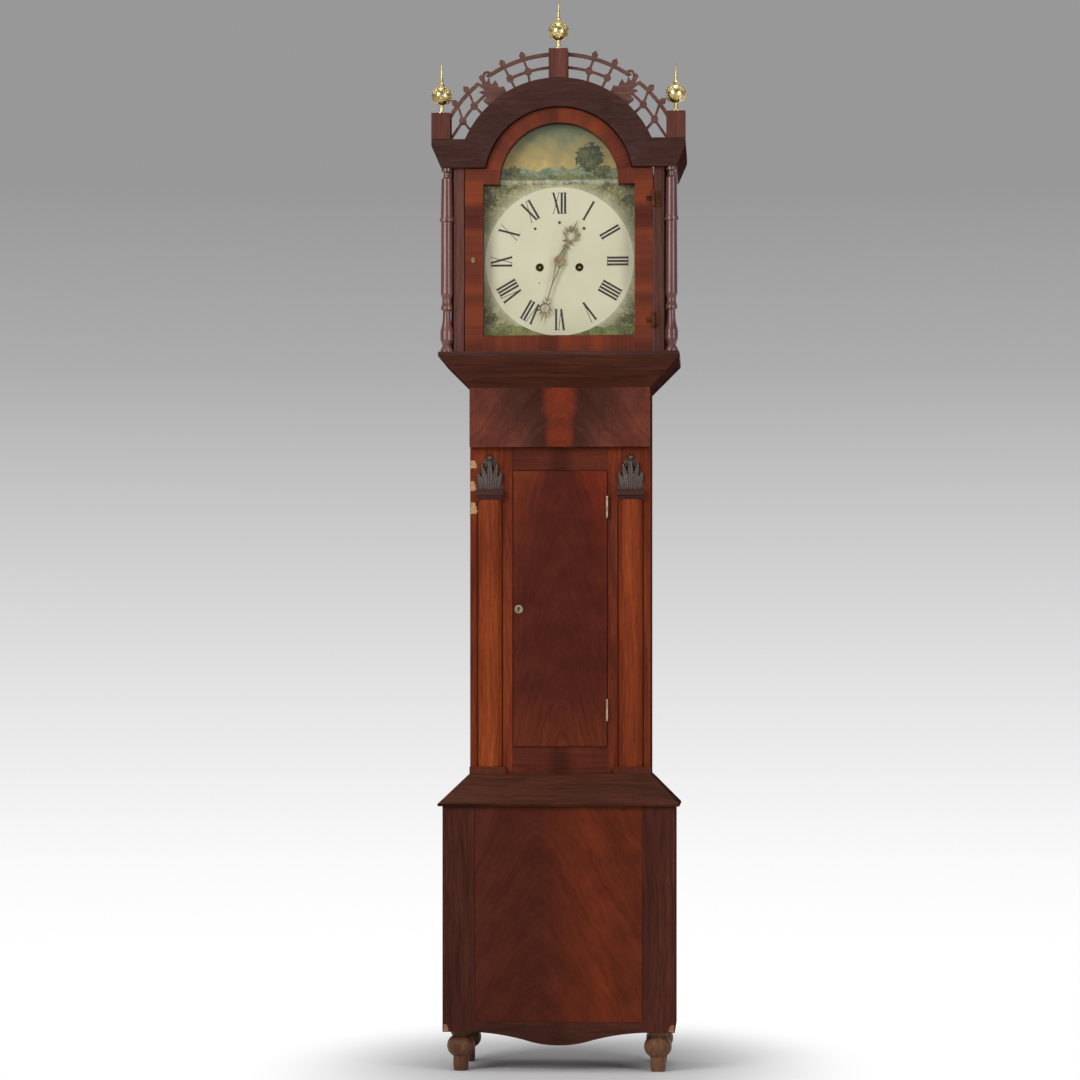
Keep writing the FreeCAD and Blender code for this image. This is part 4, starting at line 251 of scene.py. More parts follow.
def crossband():
    """Crossbanding on the hood door: short grain square to the edge all round, in strips of uneven colour."""
    material, put, shader, place = blank("crossbanded mahogany veneer")
    x, _, z = put("SeparateXYZ", place).node.outputs[:3]
    above = put("Math SUBTRACT", z, ARCH_Z)
    bearing = put("Math MULTIPLY", put("Math ARCTAN2", x, above), BAND_RADIUS)
    aside = put("Math ABSOLUTE", x)
    on_stile = put("Math GREATER_THAN", aside, OPENING_HALF)
    on_arch = put("Math GREATER_THAN", above, BAND_SPRING)
    square = put("Mix", at={0: on_stile, 2: x, 3: z})
    along = put("Mix", at={0: on_arch, 2: square, 3: bearing})
    strip = put("TexNoise", W=along, Scale=1 / BAND_STRIP, Detail=3.0, noise_dimensions="1D")
    lines = put("TexNoise", W=along, Scale=1 / BAND_LINE, Detail=2.0, noise_dimensions="1D")
    cloud = put("TexNoise", place, Scale=18.0, Detail=3.0)
    fine = put("Mix", at={0: 0.45, 2: lines, 3: cloud})
    value = put("Mix", at={0: 0.36, 2: strip, 3: fine})
    tone = put("ValToRGB", value, stops=((0.33, "#4B221A"), (0.7, "#8C4020"), (0.5, "#6A3323")))
    polish(put, shader, tone, put("Math MULTIPLY", lines, 0.4), 0.36)
    return material


def carved_wood():
    """Carved and ebonised mahogany: near black, worn brown and shiny on the high parts, where the brown is
    also painted highlight.
    """
    material, put, shader, place = blank("carved mahogany, ebonised and waxed")
    # Lighter brown on the ridges: partly wear through the ebonising, partly painted highlight
    ridge_pointiness = put("NewGeometry", out="Pointiness")
    rubbed_and_highlit = put("MapRange", ridge_pointiness, 0.5, 0.58)
    speck = put("TexNoise", place, Scale=1 / (3 * MM), Detail=3.0)
    tone = put("ValToRGB", put("Mix", at={0: 0.3, 2: rubbed_and_highlit, 3: speck}),
               stops=((0.1, "#2A1D18"), (0.75, "#6A5045")))
    gloss = put("MapRange", speck, To_Min=0.08, To_Max=0.32)
    feed(shader, {"Base Color": tone, "Roughness": gloss, "Specular IOR Level": 0.5})
    return material


TARNISH, MARK = 16 * MM, 1.2 * MM


def metal(name, bright, deep, rough):
    """Worn metal: patches of tarnish, and fine marks that break up the shine."""
    material, put, shader, place = blank(name)
    patch = put("TexNoise", place, Scale=1 / TARNISH, Detail=4.0)
    marks = put("TexNoise", place, Scale=1 / MARK, Detail=2.0)
    tone = put("ValToRGB", patch, stops=((0.35, deep), (0.6, bright)))
    shine = put("MapRange", patch, 0.3, 0.7, To_Min=rough + 0.16, To_Max=rough)
    relief = put("Bump", Height=marks, Strength=0.08, Distance=0.2 * MM)
    feed(shader, {"Base Color": tone, "Roughness": shine, "Normal": relief, "Metallic": 1.0})
    return material


def matt(name, light, dark, rough, grit):
    """A plain dull surface that is mottled at one size of grit, such as paint, bare wood or gut."""
    material, put, shader, place = blank(name)
    mottle = put("TexNoise", place, Scale=1 / grit, Detail=4.0)
    tone = put("ValToRGB", mottle, stops=((0.35, dark), (0.65, light)))
    relief = put("Bump", Height=mottle, Strength=0.1, Distance=0.3 * MM)
    feed(shader, {"Base Color": tone, "Normal": relief, "Roughness": rough})
    return material


def sheet_glass():
    """Old sheet glass: thin, clear and slightly uneven; lamps pass straight through it to the dial."""
    material, put, shader, place = blank("old sheet glass")
    waves = put("TexNoise", place, Scale=9.0, Detail=1.0)
    relief = put("Bump", Height=waves, Strength=0.06, Distance=2 * MM)
    feed(shader, {"Normal": relief, "Base Color": linear("#FAFAF6"), "Roughness": 0.02, "IOR": 1.3,
                  "Transmission Weight": 1.0})
    rays = put("LightPath").node.outputs
    through = put("Math MAXIMUM", rays["Is Shadow Ray"], rays["Is Diffuse Ray"])
    clear = put("BsdfTransparent", linear("#FAFAF6"))
    mix = put("MixShader", through, shader.outputs[0], clear)
    feed(shader.id_data.nodes["Material Output"], {"Surface": mix})
    return material


DISC_RADIUS = 160.5 * MM
MIST_START, MIST_END = 160 * MM, 186 * MM


def painted_dial():
    """Painted iron: a cream disc in satin enamel, soft landscapes in the corners and a lake in the arch."""
    material, put, shader, place = blank("painted iron dial")
    x, y, z = put("SeparateXYZ", place).node.outputs[:3]
    flat = put("CombineXYZ", x, 0.0, z)
    brush = put("TexNoise", place, Scale=1 / (20 * MM), Detail=5.0)
    dab = put("TexNoise", place, Scale=1 / (5 * MM), Detail=4.0)
    strokes = put("Mix", at={0: 0.45, 2: brush, 3: dab})

    def below(base, level, swing, pitch, seed):
        """What lies under a wavy line across the dial, in mm over a base."""
        along = put("Math ADD", x, seed)
        wave = put("TexNoise", W=along, Scale=1 / (pitch * MM), Detail=4.0, noise_dimensions="1D")
        line = put("Math MULTIPLY_ADD", wave, swing * MM, base + (level - swing / 2) * MM)
        under = put("Math SUBTRACT", line, z)
        return put("MapRange", under, -1.5 * MM, 1.5 * MM)

    def clump(base, across, up, radius, ragged):
        """A round mass of leaves with a ragged edge, in mm over a base."""
        reach = put("VectorMath DISTANCE", flat, (across * MM, 0, base + up * MM), out="Value")
        edge = put("Math MULTIPLY_ADD", dab, ragged * MM, reach)
        rim = radius + ragged / 2
        return put("MapRange", edge, (rim + 2) * MM, (rim - 2) * MM)

    def paint(ground, *layers):
        """Brush hills, water and leaves over a ground, one after another, each in two tones."""
        for mask, dark, light in layers:
            colour = put("ValToRGB", strokes, stops=((0.4, dark), (0.63, light)))
            ground = put("Mix RGBA", at={0: mask, 6: ground, 7: colour}, out=2)
        return ground

    height = put("MapRange", z, ARCH_Z, ARCH_Z + ARCH_RADIUS)
    haze = put("Mix", at={0: 0.45, 2: height, 3: brush})
    sky = put("ValToRGB", haze, stops=((0.22, "#D2B778"), (0.7, "#6F765C"), (0.42, "#A8925C")))
    arch = paint(
        sky, (below(ARCH_Z, 34, 40, 45, 0.3), "#5A6858", "#8B9076"),
        (below(ARCH_Z, 18, 30, 30, 1.7), "#474D2C", "#7C7A4A"),
        (below(ARCH_Z, 8, 5, 60, 2.2), "#6E7D78", "#B9BBA2"),
        (below(ARCH_Z, 1, 16, 40, 4.1), "#5E5432", "#B69A60"),
        (clump(ARCH_Z, 66, 56, 30, 36), "#262A1B", "#5B5F38"),
        (clump(ARCH_Z, 92, 26, 16, 26), "#2D3220", "#69693F"),
        (clump(ARCH_Z, -98, 24, 15, 26), "#333724", "#646643"))
    radius = put("VectorMath DISTANCE", flat, (0, 0, CENTRE.z), out="Value")
    ground = put("ValToRGB", strokes, stops=((0.36, "#4C4A32"), (0.66, "#A39A70"), (0.5, "#706B49")))
    mist = put("MapRange", radius, MIST_START, MIST_END, To_Min=0.7, To_Max=0.0)
    corners = paint(
        ground, (mist, "#B4B59B", "#BDBEA4"),
        (below(CENTRE.z, -140, 24, 40, 6.0), "#4D5A28", "#86854A"),
        *((clump(CENTRE.z, side * 149, up, 12.5, 22), "#31321F", "#5F6039")
          for side in (-1, 1) for up in (132, -124)))
    above = put("Math GREATER_THAN", z, OPENING_TOP + 3 * MM)
    scenery = put("Mix RGBA", at={0: above, 6: corners, 7: arch}, out=2)
    disc = put("Math LESS_THAN", radius, DISC_RADIUS)
    ageing = put("TexNoise", place, Scale=11.0, Detail=4.0)
    cream = put("ValToRGB", ageing, stops=((0.3, "#CCC8B0"), (0.7, "#D7D3BF")))
    enamel = put("Mix RGBA", at={0: disc, 6: scenery, 7: cream}, out=2)
    behind = put("Math GREATER_THAN", y, DIAL_FACE + 0.8 * MM)
    primer = put("ValToRGB", strokes, stops=((0.35, "#4A2A20"), (0.65, "#6B3E2E")))
    enamel = put("Mix RGBA", at={0: behind, 6: enamel, 7: primer}, out=2)
    gloss = put("MapRange", ageing, To_Min=0.3, To_Max=0.5)
    craze = put("TexVoronoi", place, Scale=1 / (9 * MM), feature="DISTANCE_TO_EDGE")
    relief = put("Bump", Height=craze, Strength=0.03, Distance=0.1 * MM)
    feed(shader, {"Base Color": enamel, "Roughness": gloss, "Normal": relief})
    return material


def pine_boards():
    """The back: sawn pine boards side by side, each of its own tone, with saw marks and dark open joints."""
    material, put, shader, place = blank("sawn pine boards, browned with age")
    across = put("SeparateXYZ", place)
    count = put("Math MULTIPLY_ADD", across, 1 / BOARD, 0.5)
    board = put("Math FLOOR", count)
    shift = put("CombineXYZ", 0.0, 0.0, put("Math MULTIPLY", board, 3.7))
    own = put("VectorMath ADD", place, shift)
    tone = straight_grain(put, own, "Z", "#70502F", "#96704A", "#B59067", 4.0)
    age = put("TexWhiteNoise", W=board, noise_dimensions="1D")
    age = put("MapRange", age, To_Min=0.8, To_Max=1.12)
    tone = put("VectorMath SCALE", tone, Scale=age)
    part = put("Math SUBTRACT", put("Math FRACT", count), 0.5)
    edge = put("Math ABSOLUTE", part)
    joint = put("Math GREATER_THAN", edge, 0.5 - BOARD_GAP / BOARD)
    tone = put("Mix RGBA", at={0: joint, 6: tone, 7: linear("#2A1B10")}, out=2)
    saw = drawn_out(put, own, "Z", *SAW_MARK, 1.0)
    relief = put("Bump", Height=saw, Strength=0.25, Distance=0.6 * MM)
    feed(shader, {"Base Color": tone, "Roughness": 0.75, "Normal": relief, "Specular IOR Level": 0.2})
    return material


upright_dark = planed("dark polished mahogany, upright grain", "Z", "#32160E", "#44221A", "#572E22")
level_dark = planed("dark polished mahogany, level grain", "X", "#3D1D12", "#502A1D", "#623626")
shelf_wood = planed("dark mahogany of the lower moulding", "X", "#34170A", "#472214", "#5B2F1D", lustre=0.06)
dull_upright = planed("dulled mahogany of the sides, upright grain", "Z", "#3D1E17", "#522B22", "#67392C",
                      gloss=0.6, lustre=0.0)
dull_level = planed("dulled mahogany of the returns, level grain", "Y", "#331C18", "#432722", "#53322B",
                    gloss=0.6, lustre=0.0)
hood_wood = planed("red-brown mahogany of the hood", "Z", "#44261F", "#55342D", "#67423A", gloss=0.42,
                   lustre=0.1)
cornice_wood = planed("brown polished mahogany, level grain", "X", "#341F1B", "#432924", "#53352F",
                      gloss=0.42)
fret_wood = planed("sawn mahogany of the fretwork", "X", "#4D332C", "#61433B", "#75534A", gloss=0.46)
plinth_wood = planed("red polished mahogany, upright grain", "Z", "#4A2923", "#5C352D", "#704338", gloss=0.4)
orange_wood = planed("sunned mahogany of the columns", "Z", "#642912", "#803617", "#9A4920", gloss=0.46,
                     cloud=4.0, foot=(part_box("trunk_columns")[0].z + COLUMN_FOOT, "#42241A"))
column_wood = planed("turned mahogany, bright polish", "Z", "#4A2926", "#643A35", "#7C4D45", gloss=0.26,
                     lustre=0.4, coat=0.25)
turned_wood = planed("turned beech, stained brown", "Z", "#4C2E1D", "#68442E", "#835B40", gloss=0.42,
                     lustre=0.2)
level_pine = planed("planed pine board", "X", *PINE, gloss=0.62)
roof_pine = planed("thin pine of the vaulted roof", "Y", *PINE, gloss=0.62)
trunk_wood = framed_wood("sunned mahogany of the trunk front", APERTURE_HALF + 2 * MM,
                         ("#4F1F10", "#6B2C17", "#863C1E"), ("#421C14", "#562619", "#6C311D"),
                         knot=0.62, quirk=(COLUMN_X, 27.4 * MM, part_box("column_capitals")[0].z))
base_wood = framed_wood("dark mahogany of the base front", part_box("base_frame")[1].x - BASE_STILE,
                        ("#35170F", "#47231A", "#5A2F22"), ("#301710", "#402118", "#522B1E"), knot=0.8)
base_flame = flame("flame mahogany veneer of the base", spine=-45 * MM, reach=150 * MM, taper=0.12, top=0.57,
                   fullest=0.5, slope=1.9, swirl=45 * MM, bold=0.8,
                   stops=((0.0, "#522519"), (1.0, "#5C2613"), (0.3, "#491E13"), (0.52, "#491E12"),
                          (0.7, "#592413"), (0.84, "#632813")))
door_flame = flame("flame mahogany veneer of the trunk door", spine=2 * MM, reach=100 * MM, taper=0.9,
                   top=1.30, fullest=0.26, slope=4.2, swirl=30 * MM, bold=0.6, glow=(0.71, 0.86, "#6E3219"),
                   stops=((0.0, "#73341B"), (1.0, "#6C2817"), (0.24, "#632918"), (0.38, "#4D1F15"),
                          (0.62, "#4C1E14"), (0.76, "#652416")))
frieze_flame = flame("matched crotch veneer of the frieze", spine=0.0, reach=250 * MM, taper=-0.9, top=1.49,
                     fullest=0.13, slope=1.4, swirl=70 * MM, matched=True,
                     stops=((0.5, "#74301A"), (1.0, "#673428"), (0.555, "#6C2D1A"), (0.6, "#40201A"),
                            (0.73, "#48271E"), (0.86, "#603227")))
door_band = crossband()
ebony = carved_wood()
brass = metal("lacquered brass", "#DCCB98", "#93804C", 0.16)
old_brass = metal("tarnished brass", "#A8853F", "#6E5426", 0.34)
hand_brass = metal("dull gilt brass", "#84765D", "#5A5041", 0.46)
dark_brass = metal("brass gone brown under old polish", "#5A3A26", "#3C2219", 0.4)
pale_brass = metal("rubbed bright brass", "#C6B797", "#8C7D5E", 0.22)
hinge_brass = metal("worn brass of the trunk hinges", "#AD9983", "#7C6955", 0.3)
steel = metal("bright steel", "#9C9C9A", "#77756F", 0.30)
iron = metal("cast iron, blacked", "#4A4A4B", "#2C2C2C", 0.55)
# Black paint of the numerals, and the black of painted shade in the keyhole and the small dial holes
black_paint_and_hole_shade = matt("black oil paint and painted hole shade", "#1D1B18", "#0E0D0C", 0.45, 6 * MM)
bare_wood = matt("bare wood where veneer is lost", "#C49A6C", "#9A6F45", 0.7, 5 * MM)
rubbed_wood = matt("rubbed mahogany at a worn corner", "#9C684B", "#764833", 0.7, 5 * MM)
gut_line = matt("twisted gut", "#B48F54", "#7F6236", 0.5, 2 * MM)
dial_paint = painted_dial()
back_pine = pine_boards()
glass = sheet_glass()


# Camera: level, at chest height, a little to the right of square and a long way off
scene.view_settings.view_transform = "Standard"
DISTANCE = 7.0
SPAN = 2.322
TURN = radians(3.0)
EYE_HEIGHT, AIM_Y = 0.78, -0.12
SENSOR = 36
lens = bpy.data.cameras.new("camera")
camera = bpy.data.objects.new("camera", lens)
scene.collection.objects.link(camera)
scene.camera = camera
camera.location = (sin(TURN) * DISTANCE, AIM_Y - cos(TURN) * DISTANCE, EYE_HEIGHT)
camera.rotation_euler = (radians(90), 0, TURN)
lens.sensor_width = SENSOR
lens.lens = SENSOR * DISTANCE / SPAN
lens.shift_x = -0.0171
lens.shift_y = 0.157


def soft_box(name, place, target, size, power):
    """A lamp with a broad face, out of the camera's sight, turned to its target."""
    light = bpy.data.lights.new(name, "AREA")
    light.shape = "RECTANGLE"
    light.size, light.size_y = size
    light.energy = power
    lamp = bpy.data.objects.new(name, light)
    scene.collection.objects.link(lamp)
    lamp.visible_camera = False
    lamp.location = place
    lamp.rotation_euler = (Vector(target) - Vector(place)).to_track_quat("-Z", "Y").to_euler()


soft_box("soft box, left", (-2.6, -3.6, 3.0), (0, 0, 1.1), (2.0, 2.4), 118)
soft_box("soft box, right", (3.0, -3.2, 2.2), (0, 0, 1.0), (1.6, 2.4), 62)
soft_box("top light", (0.0, -0.4, 4.4), (0, 0, 0.6), (2.4, 2.0), 46)
world = bpy.data.worlds.new("studio")
scene.world = world
world.use_nodes = True
feed(world.node_tree.nodes["Background"], {"Color": (0.9, 0.9, 0.92, 1), "Strength": 0.32})


STUDIO_RADIUS, STUDIO_HEIGHT, STUDIO_SIDES = 12.0, 12.0, 96
FLOOR_FADE = 0.06


def studio():
    """A white floor with the clock's shadow on it and painted shade greying it round the clock, and a round
    backdrop that greys towards the top.
    """
    material, put, shader, place = blank("studio paper")
    height = put("SeparateXYZ", place, out="Z")
    level = put("VectorMath MULTIPLY", place, (1.0, 1.0, 0.0))
    far = put("VectorMath LENGTH", level, out="Value")
    rise = put("Math MULTIPLY_ADD", far, FLOOR_FADE, height)
    foot = FLOOR_FADE * STUDIO_RADIUS
    rise = put("MapRange", rise, foot - 0.5, foot + 3.95)
    tone = put("ValToRGB", rise, stops=((0.0, "#FFFFFF"), (0.97, "#989898"), (0.112, "#F8F8F8"),
                                        (0.26, "#E9E9E9"), (0.735, "#ACACAC")))
    # Painted shade: near the clock the floor is lit grey paper, fading out to white emission further away
    oval = put("VectorMath MULTIPLY", place, (1.0, 0.6, 0.0))
    near = put("VectorMath LENGTH", oval, out="Value")
    painted_halo_fade = put("MapRange", near, 0.2, 0.7, interpolation_type="SMOOTHSTEP")
    # The grey of the painted shade round the clock
    feed(shader, {"Base Color": linear("#DADADA"), "Roughness": 0.9})
    rays = put("LightPath").node.outputs
    seen = put("Math MAXIMUM", rays["Is Glossy Ray"], rays["Is Transmission Ray"])
    seen = put("Math MAXIMUM", seen, rays["Is Camera Ray"])
    share = put("Math MULTIPLY", seen, painted_halo_fade)
    mix = put("MixShader", share, shader.outputs[0], put("Emission", tone, 1.0))
    feed(shader.id_data.nodes["Material Output"], {"Surface": mix})
    turns = [tau * step / STUDIO_SIDES for step in range(STUDIO_SIDES)]
    edge = [(STUDIO_RADIUS * cos(a), STUDIO_RADIUS * sin(a)) for a in turns]
    count = len(edge)
    ground = [(x, y, 0.0) for x, y in edge]
    wall = ground + [(x, y, STUDIO_HEIGHT) for x, y in edge]
    strips = [(i, count + i, count + (i + 1) % count, (i + 1) % count) for i in range(count)]
    whole = [tuple(range(count))]
    for name, points, faces in (("studio_floor", ground, whole), ("studio_backdrop", wall, strips)):
        mesh = bpy.data.meshes.new(name)
        mesh.from_pydata(points, [], faces)
        mesh.materials.append(material)
        paper = bpy.data.objects.new(name, mesh)
        scene.collection.objects.link(paper)
        if points is wall:
            paper.visible_diffuse = False
            paper.visible_shadow = False


studio()


# Ways to make pieces; small trim is let into the wood by a hair
SIDES = (("left", -1), ("right", 1))
SINK = 0.3 * MM


def oblong(left, right, low, high):
    """The outline of an upright oblong in X and Z."""
    return ((left, low), (right, low), (right, high), (left, high))


def turned_about(level, turn, aside, reach):
    """A spot in X and Z: so far out along a bearing from a centre on the middle line, and so far aside."""
    return (reach * sin(turn) + aside * cos(turn),
            level + reach * cos(turn) - aside * sin(turn))


def settle(piece, node, *materials, carrier=None):
    """Give a piece its finishes and the body of its node or of another that carries it."""
    body, slot = BODY[carrier or node], SLOT[node]
    piece.data.materials.clear()
    for material in materials:
        piece.data.materials.append(material)
    scene.collection.objects.link(piece)
    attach(piece, body)


def shade_smooth(mesh, degrees):
    """Smooth all faces, but keep the edges that are sharper than an angle."""
    mesh.polygons.foreach_set("use_smooth", [True] * len(mesh.polygons))
    mesh.set_sharp_from_angle(angle=radians(degrees))


def meshed(name, points, faces, smooth=None):
    """An object from points and faces, closed up and facing outwards."""
    mesh = bpy.data.meshes.new(name)
    mesh.from_pydata(points, [], faces)
    work = bmesh.new()
    work.from_mesh(mesh)
    bmesh.ops.remove_doubles(work, verts=work.verts, dist=0.000001)
    bmesh.ops.recalc_face_normals(work, faces=work.faces)
    work.to_mesh(mesh)
    work.free()
    if smooth:
        shade_smooth(mesh, smooth)
    return bpy.data.objects.new(name, mesh)


def sawn(name, outlines, front, back):
    """Flat shapes in X and Z cut from a sheet that lies between two Y planes."""
    points, faces = [], []
    for outline in outlines:
        first, count = len(points), len(outline)
        points += [(x, front, z) for x, z in outline] + [(x, back, z) for x, z in outline]
        faces.append(tuple(range(first, first + count)))
        faces.append(tuple(range(first + 2 * count - 1, first + count - 1, -1)))
        faces += [(first + i, first + (i + 1) % count, first + count + (i + 1) % count, first + count + i)
                  for i in range(count)]
    return meshed(name, points, faces)


def eased(piece, width, segments=2):
    """Round a piece's sharp edges a little."""
    rounding = piece.modifiers.new("eased edge", "BEVEL")
    rounding.width = width
    rounding.segments = segments
    rounding.limit_method = "ANGLE"
    rounding.angle_limit = radians(35)
    return piece


def worn(node, material, width, side=None):
    """A copy of a solid with its arrises worn round, to stand for it; its sides and back may be duller."""
    mesh = nodes[node].data.copy()
    work = bmesh.new()
    work.from_mesh(mesh)
    bmesh.ops.remove_doubles(work, verts=work.verts, dist=0.00002)
    bmesh.ops.dissolve_limit(work, angle_limit=radians(1.0), verts=work.verts, edges=work.edges)
    work.to_mesh(mesh)
    work.free()
    shade_smooth(mesh, 30)
    copy = bpy.data.objects.new(f"{node}_worn", mesh)
    finishes = (material, side) if side else (material,)
    settle(eased(copy, width), node, *finishes)
    for face in mesh.polygons:
        face.material_index = 1 if side and max(abs(face.normal.x), face.normal.y) > 0.65 else 0
    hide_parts(node)


def plain(name, draft):
    """A plain mesh from a draft with a curve or a node tree, which is then thrown away."""
    scene.collection.objects.link(draft)
    mesh = bpy.data.meshes.new_from_object(draft.evaluated_get(bpy.context.evaluated_depsgraph_get()))
    draft.modifiers.clear()
    bpy.data.objects.remove(draft)
    shade_smooth(mesh, 60)
    return bpy.data.objects.new(name, mesh)


def rod(name, path, radius):
    """A round rod along a smooth line through its points."""
    curve = bpy.data.curves.new(name, "CURVE")
    curve.dimensions = "3D"
    curve.bevel_depth = radius
    curve.bevel_resolution = 3
    curve.use_fill_caps = True
    spline = curve.splines.new("NURBS")
    spline.points.add(len(path) - 1)
    for point, place in zip(spline.points, path):
        point.co = (*place, 1.0)
    spline.order_u = 3
    spline.use_endpoint_u = True
    return plain(name, bpy.data.objects.new(name + "_draft", curve))


# The case: worn copies of the joinery, and finishes straight on turned and hidden pieces
for node, material, wear, side in (
        ("base_carcass", upright_dark, 0.8, dull_upright), ("base_frame", base_wood, 0.8, dull_upright),
        ("base_front_panel", base_flame, 0.4, dull_upright), ("base_moulding", shelf_wood, 0.8, dull_level),
        ("trunk_sides", upright_dark, 0.8, dull_upright), ("trunk_frieze", frieze_flame, 0.8, dull_level),
        ("trunk_front_frame", trunk_wood, 0.4, dull_upright),
        ("throat_moulding", level_dark, 0.8, dull_level),
        ("trunk_door", door_flame, 1.2, dull_upright), ("hood_base_frame", cornice_wood, 1.5, dull_level),
        ("hood_sides", hood_wood, 0.8, dull_upright), ("hood_cornice", cornice_wood, 0.8, dull_level),
        ("finial_plinths", plinth_wood, 0.6, dull_upright), ("fretwork", fret_wood, 0.9, None),
        ("hood_door", door_band, 0.8, None)):
    worn(node, material, wear * MM, side)
finishes = {
    "turned_feet": turned_wood, "trunk_columns": orange_wood, "hood_columns": column_wood,
    "backboard": back_pine, "seatboard": level_pine, "hood_roof": roof_pine, "hood_mask": cornice_wood,
    "hood_glass": glass, "brass_finials": brass, "hood_escutcheon": pale_brass, "trunk_lock": pale_brass,
    "dial": dial_paint, "hood_hinge_plates": dark_brass, "hood_door_hinges": dark_brass,
    "trunk_hinge_plates": hinge_brass, "trunk_door_hinges": hinge_brass, "minute_hand": hand_brass,
    "hour_hand": hand_brass}
by_slot = {"brass": old_brass, "steel": steel, "lead_iron": iron}
for node, solid in nodes.items():
    material = finishes.get(node) or by_slot.get(SLOT[node])
    if material:
        solid.data.materials.clear()
        solid.data.materials.append(material)


# Dial: Roman numerals that stand on the circle, painted shade in the small holes above and below, and the
# hands' leaves
NUMERAL_FOOT = 103
NUMERAL_HEIGHT = 46
THICK, THIN = 4.6, 1.4
SERIF_REACH, SERIF_RISE = 1.3, 1.1 / NUMERAL_HEIGHT
# Each letter, in mm: how much room it takes, and the top, foot and width of its strokes
LETTERS = {
    "I": (7.4, ((0.0, 0.0, THICK),)),
    "V": (15, ((-5.6, 0.4, THICK), (5.6, 0.4, THIN))),
    "X": (16.5, ((-6.2, 6.2, THICK), (6.2, -6.2, THIN))),
}
# Each small hole, drawn as a black disc of painted shade, in mm from the centre: across, up and radius
DIAL_HOLES = ((0, 84, 3.2), (-53, 71, 3.0), (53, 71, 3.4), (-44, -47, 1.5))


def numerals():
    """Thick and thin strokes with serifs: each stroke leans from its top to its foot."""
    outlines = []
    for hour, text in enumerate("XII I II III IIII V VI VII VIII IX X XI".split()):
        turn = radians(30 * hour)
        place = -sum(LETTERS[letter][0] for letter in text) / 2
        for letter in text:
            advance, strokes = LETTERS[letter]
            middle = place + advance / 2
            place += advance
            shapes = []
            for top, foot, width in strokes:
                half = width / 2
                shapes.append(((foot - half, 0), (foot + half, 0), (top + half, 1), (top - half, 1)))
                for end, level in ((top, 1 - SERIF_RISE), (foot, 0)):
                    if letter != "V" or level:
                        wide = half + SERIF_REACH
                        shapes.append(oblong(end - wide, end + wide, level, level + SERIF_RISE))
            outlines += [[turned_about(CENTRE.z, turn, (middle + across) * MM,
                                       (NUMERAL_FOOT + up * NUMERAL_HEIGHT) * MM)
                          for across, up in shape] for shape in shapes]
    # Black discs over the small holes: painted shade in them
    for across, up, radius in DIAL_HOLES:
        outlines.append([((across + radius * cos(a)) * MM, CENTRE.z + (up + radius * sin(a)) * MM)
                         for a in (pi / 8 * step for step in range(16))])
    ink_and_hole_shade = sawn("dial_numerals", outlines, DIAL_FACE - 0.25 * MM, DIAL_FACE + 0.2 * MM)
    settle(ink_and_hole_shade, "dial", black_paint_and_hole_shade)


def leaf(root, tip, half):
    """The outline of a pointed leaf from its root to its tip."""
    root, tip = Vector(root), Vector(tip)
    along = tip - root
    aside = Vector((-along.y, along.x)).normalized() * half
    sides = ((0.12, 0.45), (0.35, 0.95), (0.6, 0.8), (0.85, 0.28))
    left = [root + along * t + aside * w for t, w in sides]
    right = [root + along * t - aside * w for t, w in reversed(sides)]
    return [root, *left, tip, *right]


# Leaves about a hand's crest, in mm: root, tip and half the width
CREST_LEAVES = (((9, -6), (21, 4), 3.4), ((10, 2), (20, 15), 3.2), ((6, 9), (9, 23), 3.0),
                ((4, -12), (13, -19), 2.4), ((2, -22), (8, -32), 2.0))


def hand_leaves(node, degrees, crest, ring):
    """Pierced leaf work about a hand's crest, as sawn from the same sheet of brass."""
    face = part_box(node)[0].y
    turn = radians(degrees)
    outlines = [[turned_about(CENTRE.z, turn, sign * aside * MM * ring, crest + along * MM * ring)
                 for aside, along in leaf(*shape)] for sign in (-1, 1) for shape in CREST_LEAVES]
    leaves = sawn(f"{node}_leaves", outlines, face - 0.2 * MM, face + 0.9 * MM)
    settle(eased(leaves, 0.2 * MM, 1), node, hand_brass)


numerals()
hand_leaves("hour_hand", degrees=24, crest=59.7 * MM, ring=0.95)
hand_leaves("minute_hand", degrees=197, crest=107.2 * MM, ring=0.78)


# Trunk: carved capitals over the half columns
LEAF_HEIGHT = 77
LEAF_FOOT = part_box("column_capitals")[1].z - LEAF_HEIGHT * MM
CAPITAL_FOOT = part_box("column_capitals")[0].z
# Each frond, in mm: how far its foot and its tip stand from the middle, its rise, half its width, its height
ACANTHUS = ((0, 0, 71, 11, 15), (9.5, 17, 57, 9.5, 14), (17.5, 26.5, 38, 9, 12.5))
GROUND_HALF, GROUND_TOP, GROUND_HEIGHT = 28, 80, 3.0
GROOVE_DEPTH, GROOVE_SHARE = 1.6, 0.14
BUD_RISE, BUD_RADIUS, BUD_HEIGHT = 69, 8, 13


def carved_height(across, up):
    """Height in mm of the carved leaf over its ground: fronds that bend outwards, each with a grooved rib."""
    height = GROUND_HEIGHT if abs(across) < GROUND_HALF * (1 - (up / GROUND_TOP) ** 2.2) else 0.0
    for foot, tip, rise, half, high in ACANTHUS:
        t = up / rise
        if t > 1:
            continue
        width = half * (0.62 + 0.8 * t - 1.42 * t ** 3) + 0.4
        for sign in ((1,) if tip == 0 else (-1, 1)):
            off = (across - sign * (foot + (tip - foot) * t ** 1.7)) / width
            if abs(off) < 1:
                swell = high * (0.6 + 0.4 * t) * sqrt(1 - off * off)
                groove = GROOVE_DEPTH * exp(-(off / GROOVE_SHARE) ** 2)
                height = max(height, swell - groove)
    bud = hypot(across, up - BUD_RISE) / BUD_RADIUS
    if bud < 1:
        height = max(height, BUD_HEIGHT * sqrt(1 - bud * bud))
    return height


